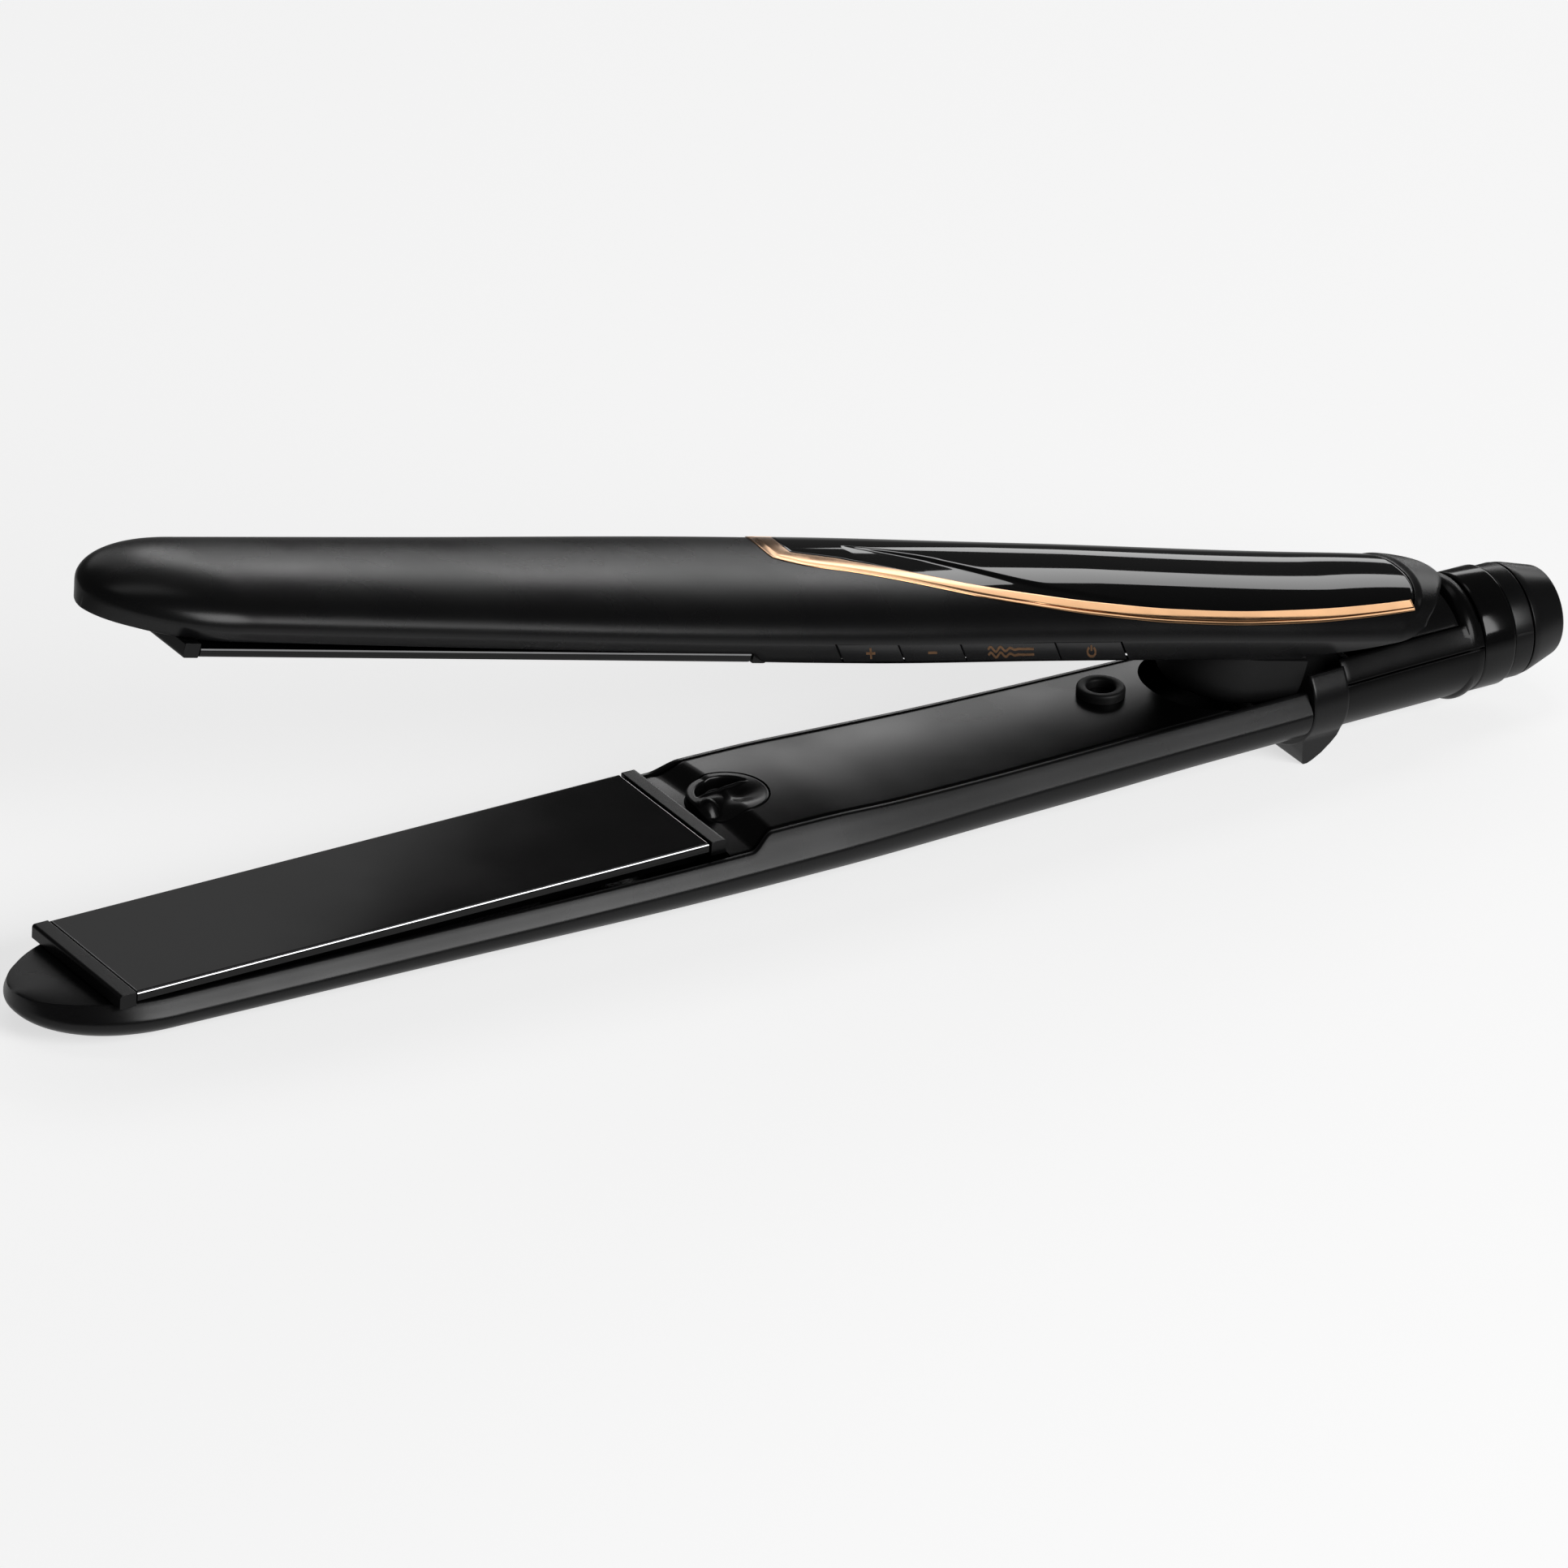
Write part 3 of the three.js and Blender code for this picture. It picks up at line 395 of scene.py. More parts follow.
INK = metal("copper_ink", (0.62, 0.35, 0.19), 0.38, (1, 1, 1), 2500)
STEEL = metal("steel", (0.56, 0.57, 0.58), 0.28, (1, 12, 12), 1200)
BRASS = metal("brass", (0.70, 0.52, 0.24), 0.3)
RUBBER = soft_touch("rubber", (0.008, 0.008, 0.008), 0.5, 1.3)


def board_material():
    s = Shader("circuit_board", (0.02, 0.13, 0.05), 0.3)
    lines = s.noise(420, 0.0, (1, 6, 1))
    s.tint(lines, (0.012, 0.085, 0.035), (0.03, 0.2, 0.08), 0.47, 0.5)
    s.bump(lines, 0.2, 0.00004)
    return s.material


def heater_material():
    s = Shader("heater_ceramic", (0.72, 0.68, 0.6), 0.75)
    specks = s.noise(1600, 4.0)
    s.tint(specks, (0.62, 0.57, 0.5), (0.78, 0.74, 0.68))
    s.bump(specks, 0.3, 0.00003)
    return s.material


BOARD = board_material()
HEATER = heater_material()
MODULE = soft_touch("module", (0.03, 0.03, 0.034), 0.5)

# ---- arm shells --------------------------------------------------------------------------------------
CREASE_SOFT = 0.55  # how far the crease between facet and crown is rounded
RIM_SOFT = 0.28
END_SOFT = 1.4  # the upper shell's rear edge
POCKET_DEPTH = 1.1
HOOD, HOOD_RAMP = 0.6, 1.1  # how far the rear end stands proud of the panel, and over what length it rises


def bezier(a, b, c, steps):
    t = np.linspace(0, 1, steps + 1)[:, None]
    return (1 - t) ** 2 * a + 2 * t * (1 - t) * b + t * t * c


def half_profile(x, crown, rim, inset=0.0):
    """Half a section of an arm from the middle of its underside to the top of its crown, as (y, z)."""
    w = float(half_width(x)) - inset
    r = float(rim(x))
    h = float(crown_height(x, crown)) - inset - FACET_Z
    corner = np.array([w - float(facet_in(x, r)), r])
    crease = np.array([w, FACET_Z])
    soft = min(CREASE_SOFT, 0.45 * max(h, 0.02), 0.45 * w)
    rim_soft = min(RIM_SOFT, 0.3 * w)
    slope = (crease - corner) / np.linalg.norm(crease - corner)
    flat = np.array([[0, r], [corner[0] - rim_soft, r]])
    low = bezier(flat[1], corner, corner + slope * rim_soft, 3)[1:]
    start = math.asin(min(1, (soft / max(h, 1e-6)) ** (CROWN_POWER / 2)))
    turns = start + (math.pi / 2 - start) * np.linspace(0, 1, 27)
    out, over = np.cos(turns).clip(0) ** (2 / CROWN_POWER), np.sin(turns) ** (2 / CROWN_POWER)
    arc = np.stack([w * out, FACET_Z + h * over], -1)
    edge = bezier(crease - slope * soft, crease, arc[0], 4)
    facet = corner + slope * rim_soft + (edge[0] - corner - slope * rim_soft) * np.array([[0.33], [0.67]])
    return np.concatenate([flat, low, facet, edge[:-1], arc])


def full_ring(x, crown, rim, inset=0.0):
    """A whole section of an arm at x."""
    half = half_profile(x, crown, rim, inset)
    near = half * np.array([-1, 1])
    ring = np.concatenate([near, half[::-1][1:-1]])
    return np.column_stack([np.full(len(ring), x), ring])


def arm_stations(rear):
    """Where an arm's rings lie: close together round the tip and where the rim steps up to the handle."""
    tip = TIP_X + TIP_LENGTH * (1 - np.cos(np.radians(np.linspace(0.8, 90, 44))))
    plate = np.arange(-233, -137, 2.0)
    jog = np.arange(-136, -119.4, 0.25)
    handle = np.arange(-119, rear - 3, 1.5)
    return np.concatenate([tip, plate, jog, handle, np.linspace(rear - 2.8, rear, 6)])


def inner_ring(x, crown, rim):
    """A section of the hollow inside an arm, open at the rim."""
    y = float(half_width(x) - facet_in(x, rim(x))) - LIP
    r = float(rim(x))
    arc = crown_point(x, np.linspace(0, math.pi, 25), crown, WALL)
    low = [(x, -y, r - 4), (x, -y, r + 0.6)]
    high = [(x, y, r + 0.6), (x, y, r - 4)]
    return np.concatenate([low, arc, high])


def arm_shell(name, crown, rim, rear, rings):
    outer = loft(name, rings)
    stations = [np.arange(CAVITY_START, rear, 4.0), np.arange(-136, -119, 0.5), [rear, rear + 3]]
    rings = [inner_ring(x, crown, rim) for x in np.unique(np.concatenate(stations))]
    return boolean(outer, loft("cavity", rings))


def lower_shell():
    rings = [full_ring(x, lower_crown, lower_rim) for x in arm_stations(LOWER_END)]
    return arm_shell("arm_shell_lower", lower_crown, lower_rim, LOWER_END, rings)


# The upper shell's rear edge in plan, x against the distance from the middle, and the line of its cheeks over
# the hinge, height against x.
rear_limit = track([
    (0, 17.6), (0.4, 17.6), (2.5, 17.2), (5.4, 15.4), (8.6, 12.8), (11.2, 10.6), (13.4, 8.6), (25, 8.6),
])
cheek_line = track([(-15.7, 1.3), (-7.3, 2.6), (-1.7, 3.8), (4.3, 5.6), (8.8, 7.6), (30, 7.6)])


# ---- gloss panel and its trim ------------------------------------------------------------------------
# The panel's long edges, as the angle round the crown along x.
panel_near = track([
    (-124, 93), (-117, 83), (-110, 77.5), (-102, 69), (-94, 58.8), (-87, 50), (-80, 42.8), (-64, 29),
    (-47, 20), (-34, 18), (-20, 21), (-2, 30), (14, 41),
])
panel_far = track([(-124, 137), (-110, 141), (-80, 147), (-47, 152), (-20, 152), (14, 146)])


def panel_front(turn):
    """x of the panel's front edge at an angle in degrees."""
    return -122.6 + 4 * np.clip((turn - 91) / 46, 0, None) ** 1.5


def panel_rear(turn):
    """x of the panel's rear edge at an angle in degrees."""
    return 5.2 + 5 * np.sin(0.8 * math.pi * (turn - 35) / 111)


def edge_turn(edge, x, inset):
    """The angle of a panel edge at x, moved into the panel by inset millimetres."""
    turn = np.radians(edge(x))
    ahead, behind = crown_point(x, turn + 0.02, upper_crown), crown_point(x, turn - 0.02, upper_crown)
    speed = np.linalg.norm(ahead - behind, axis=-1) / 0.04
    slope = speed * np.radians(edge(x + 0.5) - edge(x - 0.5))
    return turn + inset * np.hypot(1, slope) / speed


def patch_turn(x, v, inset):
    near = edge_turn(panel_near, x, inset)
    return near + (edge_turn(panel_far, x, -inset) - near) * v


def patch_end(end, shift, v, inset):
    x = end(90.0) + shift
    for _ in range(8):
        x = end(np.degrees(patch_turn(x, v, inset))) + shift
    return x


def raised(x, turn, lift):
    """Points at lift millimetres over the upper crown."""
    x, turn = np.broadcast_arrays(x, turn)
    ahead = crown_point(x + 0.5, turn, upper_crown) - crown_point(x - 0.5, turn, upper_crown)
    around = crown_point(x, turn + 0.02, upper_crown) - crown_point(x, turn - 0.02, upper_crown)
    normal = np.cross(ahead, around)
    normal /= np.linalg.norm(normal, axis=-1, keepdims=True)
    return crown_point(x, turn, upper_crown) + normal * np.asarray(lift)[..., None]


def patch_grid(inset, front_inset, rear_inset, along, across):
    """x and angle over the panel, drawn in by inset at its long edges."""
    v = np.linspace(0, 1, across)
    front = np.array([float(patch_end(panel_front, front_inset, u, inset)) for u in v])
    rear = np.array([float(patch_end(panel_rear, -rear_inset, u, inset)) for u in v])
    s = np.linspace(0, 1, along)[:, None]
    x = front + (rear - front) * s
    return x, patch_turn(x, v[None, :], inset)


def pocket_tool():
    """Cuts the recess that the panel and its trim lie in."""
    x, turn = patch_grid(-0.1, -0.1, -0.1, 110, 30)
    top = raised(x, turn, np.full(x.shape, 3.0))
    return slab("pocket", top, raised(x, turn, np.full(x.shape, -POCKET_DEPTH)))


def hooded(ring):
    """Lifts the part of a ring that lies behind the panel, so that the rear end stands proud of it."""
    x, y, z = np.asarray(ring, float).T
    turn = np.degrees(np.arctan2(np.maximum(z - FACET_Z, 0) * 2.0, -y))
    t = np.clip((x - panel_rear(turn) - 0.2) / HOOD_RAMP, 0, 1) * np.clip((turn - 26) / 24, 0, 1)
    t = t * np.clip((168 - turn) / 14, 0, 1)
    lift = HOOD * t * t * (3 - 2 * t)
    out = np.stack([y, z - 4], -1)
    out /= np.linalg.norm(out, axis=-1, keepdims=True)
    return np.column_stack([x, y + out[:, 0] * lift, z + out[:, 1] * lift])


def upper_shell_rings():
    """Rings of the upper arm whose rear end is a curve in plan with a softly rounded edge."""
    bend = 3.0
    rings = [hooded(full_ring(x, upper_crown, upper_rim)) for x in arm_stations(bend)]
    edge = 1 - 0.13 * (1 - np.sin(np.linspace(0.1, math.pi / 2, 9)))
    for s in np.concatenate([np.linspace(0.03, 0.86, 40), edge]):
        ring = full_ring(bend + (UPPER_END - bend) * s, upper_crown, upper_rim)
        limit = rear_limit(np.abs(ring[:, 1]))
        x = bend + (limit - bend) * s
        t = np.clip((x - (limit - END_SOFT)) / END_SOFT, 0, 1)
        inset = END_SOFT * (1 - np.sqrt(1 - np.minimum(t, 0.999) ** 2)) * 0.8
        centre = np.array([0, 5.0])
        reach = np.linalg.norm(ring[:, 1:] - centre, axis=1)
        scale = np.where(ring[:, 2] > 2, 1 - inset / reach, 1)
        moved = centre + (ring[:, 1:] - centre) * scale[:, None]
        rings.append(hooded(np.column_stack([x, moved])))
    return rings


# The width of the trim on each side of the panel, and the angle of the crease in the panel along x.
near_width = track([
    (-123, 5.4), (-110, 4.4), (-100, 3.9), (-88, 3.1), (-78, 2.7), (-60, 2.4), (-20, 2.3), (14, 2.0),
])
FRONT_WIDTH, FAR_WIDTH, REAR_WIDTH = 5.2, 0.8, 1.8
crease_line = track([
    (-104.4, 106.5), (-89.6, 89.9), (-70.2, 58.6), (-46.2, 38.1), (-27.9, 34.9), (6, 34.9),
])
CREASE_FRONT, CREASE_RISE, CREASE_REAR, CREASE_DEPTH = -105, 24, -24, 0.5
PANEL_LIFT, PANEL_BACK = 0.12, 0.9


def panel_lift(x, turn):
    """How far the panel drops on the near side of its crease, which fades out towards the rear."""
    rise = np.clip((x - CREASE_FRONT) / CREASE_RISE, 0, 1)
    depth = CREASE_DEPTH * rise * (2 - rise) * np.clip((CREASE_REAR - x) / 70, 0, 1) ** 0.9
    low = 1 / (1 + np.exp((np.degrees(turn) - crease_line(x)) / 0.7))
    return -depth * low


def panel_spots(v_steps, along):
    """Grid of (x, angle) over the panel inside the trim."""
    v = np.linspace(0, 1, v_steps)
    front = np.empty(v_steps)
    rear = np.empty(v_steps)

    def turn_at(x, u):
        near = edge_turn(panel_near, x, near_width(x))
        return near + (edge_turn(panel_far, x, -FAR_WIDTH) - near) * u

    for i, u in enumerate(v):
        a, b = panel_front(90.0) + FRONT_WIDTH, panel_rear(90.0)
        for _ in range(10):
            a = panel_front(np.degrees(turn_at(a, u))) + FRONT_WIDTH
            b = panel_rear(np.degrees(turn_at(b, u))) - GAP
        front[i], rear[i] = a, b
    s = np.linspace(0, 1, along)[:, None]
    x = front + (rear - front) * s
    return x, turn_at(x, v[None, :])


def gloss_panel():
    across, along = 150, 420
    x, turn = panel_spots(across, along)
    v = np.linspace(0, 1, across)[None, :]
    rows = np.linspace(0, 1, along)[:, None]
    rim = np.minimum(np.minimum(v, 1 - v) * 30, np.minimum(rows, 1 - rows) * 128)
    lift = PANEL_LIFT + panel_lift(x, turn)
    lift = lift - PANEL_LIFT * (1 - np.clip(rim / 0.35, 0, 1)) ** 2
    return slab("gloss_panel_skin", raised(x, turn, lift), raised(x, turn, np.full(x.shape, -PANEL_BACK)))


# The trim's profile: its outer lip and groove as (inset in millimetres, lift), its band as (share of the
# trim's width, lift).
TRIM_LIP = [(0, -PANEL_BACK), (0, 0.03), (0.06, 0.11), (0.14, 0.14), (0.4, 0.14), (0.48, 0.11), (0.52, 0.02)]
TRIM_GROOVE = [(0.53, -0.34), (0.8, -0.36), (0.82, -0.06)]
TRIM_BAND = [(0.34, 0.01), (0.36, 0.05), (0.4, 0.07), (0.6, 0.08), (0.9, 0.07), (0.96, 0.05), (1, 0.01)]
TRIM_BAND += [(1, -PANEL_BACK)]


def trim_strand(share, inset, lift):
    """One line of the trim, from its rear end along the near edge, over the front and along the far edge."""

    def near_edge(x):
        return edge_turn(panel_near, x, inset + share * near_width(x))

    def far_edge(x):
        return edge_turn(panel_far, x, -inset / 2 - share * FAR_WIDTH)

    corner, end = panel_front(90.0), panel_rear(40.0)
    far, far_end = panel_front(137.0), panel_rear(146.0)
    for _ in range(10):
        corner = panel_front(np.degrees(near_edge(corner))) + inset + share * FRONT_WIDTH
        end = panel_rear(np.degrees(near_edge(end))) + 0.5
        far = panel_front(np.degrees(far_edge(far))) + inset + share * FRONT_WIDTH
        far_end = panel_rear(np.degrees(far_edge(far_end))) - GAP
    end -= inset + share * REAR_WIDTH
    inner = edge_turn(panel_near, end, near_width(end))
    hook = inner + (near_edge(end) - inner) * np.linspace(0, 1, 16)[:-1]
    along = np.linspace(0, 1, 300)
    x_near = end + (corner - end) * along
    front = np.linspace(float(near_edge(corner)), float(far_edge(far)), 62)[1:-1]
    x_front = panel_front(np.degrees(front)) + inset + share * FRONT_WIDTH
    x_far = far + (far_end - far) * along
    x = np.concatenate([np.full(len(hook), end), x_near, x_front, x_far])
    turn = np.concatenate([hook, near_edge(x_near), front, far_edge(x_far)])
    return raised(x, turn, np.full(len(x), lift))


def copper_trim():
    """A band round the panel's near, front and far edges, with a groove and an outer lip."""
    strands = [trim_strand(0, inset, lift) for inset, lift in TRIM_LIP + TRIM_GROOVE]
    strands += [trim_strand(share, 0, lift) for share, lift in TRIM_BAND]
    return loft("copper_trim_band", np.array(strands).transpose(1, 0, 2))


# ---- keys --------------------------------------------------------------------------------------------
KEY_EDGES = [-117, -103.9, -90.6, -70.2, -55.8]
KEY_NAMES = ["plus_button", "minus_button", "mode_button", "power_button"]
KEY_SLANT, KEY_HALF, KEY_DEPTH, ROW_Z = 5.2, 2.7, 0.6, 2.9
BED_FRONT, BED_BACK, BED_DROP = 1.12, 1.6, 0.45  # the dark strip behind the keys
ICON_SLANT, ICON_TALL, ICON_WIDTH = 0.74, 1.86, 0.4
ICON_ARM, ICON_RING = 0.92, 0.85  # half the size of the plus, and the radius of the power ring
WAVE_LONG, WAVE_TALL, WAVE_COUNT, WAVE_APART = 9.8, 0.42, 4.6, 0.5
ROW_X = (KEY_EDGES[0] + KEY_EDGES[-1]) / 2


def row_frame():
    """The frame of the row of keys: x along it, y into the arm, z up the facet."""
    first, last = KEY_EDGES[0], KEY_EDGES[-1]
    along = Vector((last - first, float(widest(first) - widest(last)), 0)).normalized()
    up = Vector((0, -FACET_LEAN, 1)).normalized()
    into = up.cross(along).normalized()
    up = along.cross(into)
    y = float(widest(first) + widest(last)) / 2 - FACET_LEAN * (FACET_Z - ROW_Z)
    basis = Matrix((along, into, up)).transposed().to_4x4()
    return Matrix.Translation((ROW_X, -y, ROW_Z)) @ basis


ROW = row_frame()


def slant_outline(x0, x1, grow):
    """A key's slanted outline in the row's (x, z) plane, drawn out by grow."""
    h = KEY_HALF + grow
    s = KEY_SLANT * h / (2 * KEY_HALF)
    corners = [(x0 - grow + s, -h), (x1 + grow + s, -h), (x1 + grow - s, h), (x0 - grow - s, h)]
    return [(x - ROW_X, z) for x, z in corners]


def slot_tool():
    tool = prism("slot", slant_outline(KEY_EDGES[0], KEY_EDGES[-1], GAP), "y", -3, 3.4)
    tool.data.transform(ROW)
    return tool


def stroke(name, lines, width, low, high):
    """Flat raised strokes along polylines in the row's (x, z) plane."""
    verts, faces = [], []
    for line in lines:
        p = np.array(line, float)
        closed = np.allclose(p[0], p[-1])
        d = np.gradient(p, axis=0)
        if closed:
            d[0] = d[-1] = p[1] - p[-2]
        d /= np.linalg.norm(d, axis=1, keepdims=True)
        n = np.column_stack([-d[:, 1], d[:, 0]]) * width / 2
        if not closed:
            p[0] -= d[0] * width * 0.1
            p[-1] += d[-1] * width * 0.1
        count = len(p)
        base = len(verts)
        for i in range(count):
            for q in (p[i] - n[i], p[i] + n[i]):
                for y in (low, high):
                    verts.append((q[0], y, q[1]))
        for i in range(count - 1):
            a, b = base + 4 * i, base + 4 * (i + 1)
            faces += [(a, b, b + 2, a + 2), (a + 1, a + 3, b + 3, b + 1)]
            faces += [(a, a + 1, b + 1, b), (a + 2, b + 2, b + 3, a + 3)]
        if not closed:
            a, b = base, base + 4 * (count - 1)
            faces += [(a, a + 2, a + 3, a + 1), (b, b + 1, b + 3, b + 2)]
    return new_object(name, verts, faces)


def icon_lines(kind):
    """The strokes of a key's symbol: plus, minus, power, or two waves that calm down."""
    bar = [(-ICON_ARM, 0), (ICON_ARM, 0)]
    if kind == "plus":
        return [bar, [(0, -ICON_ARM), (0, ICON_ARM)]]
    if kind == "minus":
        return [bar]
    if kind == "power":
        turn = np.radians(125 + 290 * np.linspace(0, 1, 40))
        ring = np.column_stack([ICON_RING * np.cos(turn), -0.1 + ICON_RING * np.sin(turn)])
        return [ring, [(0, 0.1), (0, 1)]]
    t = np.linspace(0, 1, 120)
    fade = WAVE_TALL * np.clip(1 - (t - 0.3) / 0.45, 0, 1) ** 1.3
    wave = fade * np.sin(t * 2 * math.pi * WAVE_COUNT)
    return [np.column_stack([WAVE_LONG * (t - 0.5), wave + z]) for z in (WAVE_APART, -WAVE_APART)]


def build_keys():
    """Four keys with raised symbols, in front of a dark bed that closes the row from behind."""
    bed = prism("key_bed", slant_outline(KEY_EDGES[0], KEY_EDGES[-1], GAP - 0.03), "y", BED_FRONT, BED_BACK)
    bed.data.transform(Matrix.Translation((0, 0, -BED_DROP)))
    place(bed, UPPER @ ROW, "upper_arm", DARK_MATTE)
    for i, name in enumerate(KEY_NAMES):
        x0, x1 = KEY_EDGES[i] + 0.15, KEY_EDGES[i + 1] - 0.15
        key = prism(f"{name}_cap", slant_outline(x0, x1, 0.05), "y", 0.06, KEY_DEPTH)
        bevel(key, 0.16, 3)
        place(key, UPPER @ ROW, f"{name}_key", KEY_BLACK, [name])
        kind = name.split("_")[0]
        symbol = stroke(f"{kind}_symbol", icon_lines(kind), ICON_WIDTH, 0.03, 0.12)
        upright = Matrix(((1, 0, -ICON_SLANT * ICON_TALL), (0, 1, 0), (0, 0, ICON_TALL))).to_4x4()
        symbol.data.transform(Matrix.Translation(((x0 + x1) / 2 - ROW_X, 0, 0)) @ upright)
        place(symbol, UPPER @ ROW, f"{name}_key", INK)


# ---- between the arms --------------------------------------------------------------------------------
def liner_crown(share):
    """A liner stands a little prouder in its middle than at its edges."""
    return 0.15 - 0.7 * (1 - share**2)


def liner(name, face, rim, thick, play, x0, x1, rim_soft=0.35):
    """The cover inside an arm's mouth, from x0 to x1, with rounded long edges."""
    fine = np.arange(-127.9, -119.5, 0.25)
    xs = np.unique(np.concatenate([[x0], fine[fine > x0], np.arange(-119, x1, 1.5), [x1]]))
    top, bottom = [], []
    shares = np.concatenate([[-1, -0.985, -0.96], np.linspace(-0.93, 0.93, 31), [0.96, 0.985, 1]])
    for x in xs:
        y = float(half_width(x) - facet_in(x, rim(x))) - LIP - play
        side = np.abs(shares)
        soft = rim_soft * np.clip((side - 0.955) / 0.045, 0, 1) ** 2
        z = float(face(x)) + soft + liner_crown(shares)
        back = np.full(len(shares), float(face(x)) + thick)
        top.append(np.column_stack([np.full(len(shares), x), shares * y, z]))
        bottom.append(np.column_stack([np.full(len(shares), x), shares * y, back]))
    return slab(name, top, bottom)


upper_face = track([(-128, 2.8), (-125.4, 2.8), (-121.4, 0.95), (-30, 0.95)])
lower_face = track([
    (-130, 2.8), (-128, 2.8), (-125.4, 2.8), (-120.4, 0.45), (-110, 0.55), (-95, 1.2), (-70, 1.75), (-26, 2),
])
LOWER_LINER, UPPER_LINER = (-129.4, -26.5), (-127.9, -37)
SENSOR_X, SENSOR_R = -120.6, 7
STOP_X, STOP_Y = -44, 2.6
DOME_X, DOME_R, DOME_REAR = -23.6, 11.4, -14


def hole(r, x):
    """An upright tool that cuts a round hole at x."""
    return turned("hole", [(0.0005, -20), (r, -20), (r, 20), (0.0005, 20)], "z", (x, 0, 0))


def build_liners():
    obj = liner("handle_liner_lower", lower_face, lower_rim, 1.4, 0.12, *LOWER_LINER)
    boolean(obj, hole(SENSOR_R + 0.18, SENSOR_X))
    boolean(obj, hole(DOME_R + 0.7, DOME_X))
    place(obj, LOWER_TWIN, "lower_arm", SATIN_BLACK, ["lower_liner"])
    obj = liner("handle_liner_upper", upper_face, upper_rim, 1.0, 0.15, *UPPER_LINER)
    place(obj, UPPER, "upper_arm", SATIN_BLACK, ["upper_liner"])


PLATE = {
    "x0": -243.5, "x1": -133.2, "half": 14, "face": 0.1, "head": 1.7, "foot": 5, "stem": 10.5, "bevel": 0.6,
}


def plate(name):
    """A heated plate: a head with rounded long edges on a narrower stem, slightly rounded at its ends."""
    p = PLATE
    turn = np.linspace(0, math.pi / 2, 9)
    out, down = p["bevel"] * (1 - np.sin(turn)), p["bevel"] * (1 - np.cos(turn))
    side = list(zip(p["half"] - out, p["face"] + down))
    side += [(p["half"], 1.42), (p["half"], p["head"]), (p["stem"], p["head"]), (p["stem"], p["foot"])]
    outline = side + [(-y, z) for y, z in reversed(side)]
    ends = [(0, 0.25), (0.02, 0.1375), (0.075, 0.0625), (0.25, 0)]
    steps = [(p["x0"] + dx, drop) for dx, drop in ends]
    steps += [(p["x1"] - dx, drop) for dx, drop in reversed(ends)]
    return loft(name, [[(x, y, max(z, p["face"] + drop)) for y, z in outline] for x, drop in steps])


def retainer(name, x0, length):
    """A bar across the end of a plate, on a stem that reaches into the arm."""
    face, back, half = 0.05, 2.6, PLATE["half"]
    x1 = x0 + length
    outline = [(x0, back), (x0, face + 0.3, 0.3), (x0 + 0.3, face, 0.3), (x1, face), (x1, back)]
    bar = bevel(prism(name, rounded(outline, 0.2), "y", -half, half), 0.38, 4, 50)
    stem = [(x0 + 0.5, back - 0.3), (x1 - 0.5, back - 0.3), (x1 - 0.5, 5.4), (x0 + 0.5, 5.4)]
    return boolean(bar, prism("stem", stem, "y", -9, 9), "UNION")


def polished(face, prefix):
    """Whether a plate's face is bare metal: the long rounded edges below, the side walls above."""
    slope = abs(face.normal.z) if abs(face.normal.x) < 0.5 else 0
    if prefix == "lower":
        return 0.4 < slope < 0.96
    return face.center[2] > 1.5 and slope < 0.1 and abs(face.center[1]) > PLATE["half"] - 0.1


def build_plates():
    for prefix, arm_matrix, arm in (("lower", LOWER_TWIN, "lower_arm"), ("upper", UPPER, "upper_arm")):
        obj = plate(f"heated_plate_{prefix}")
        flags = [polished(face, prefix) for face in obj.data.polygons]
        looks = [CERAMIC, PLATE_EDGE]
        place(obj, arm_matrix, f"{prefix}_plate_set", looks, [f"{prefix}_plate"], 40, True)
        for face, flag in zip(obj.data.polygons, flags):
            face.material_index = int(flag)
        front = retainer(f"plate_retainer_{prefix}_front", -246.8, 3.1)
        rear = retainer(f"plate_retainer_{prefix}_rear", 0, 2.9)
        rear.data.transform(Matrix.Translation((-129.8, 0, 0)) @ Matrix.Scale(-1, 4, (1, 0, 0)))
        rear.data.flip_normals()
        for bar, end in ((front, "front"), (rear, "rear")):
            place(bar, arm_matrix, arm, GLOSSY_TRIM, [f"{prefix}_retainer_{end}"], 40, True)


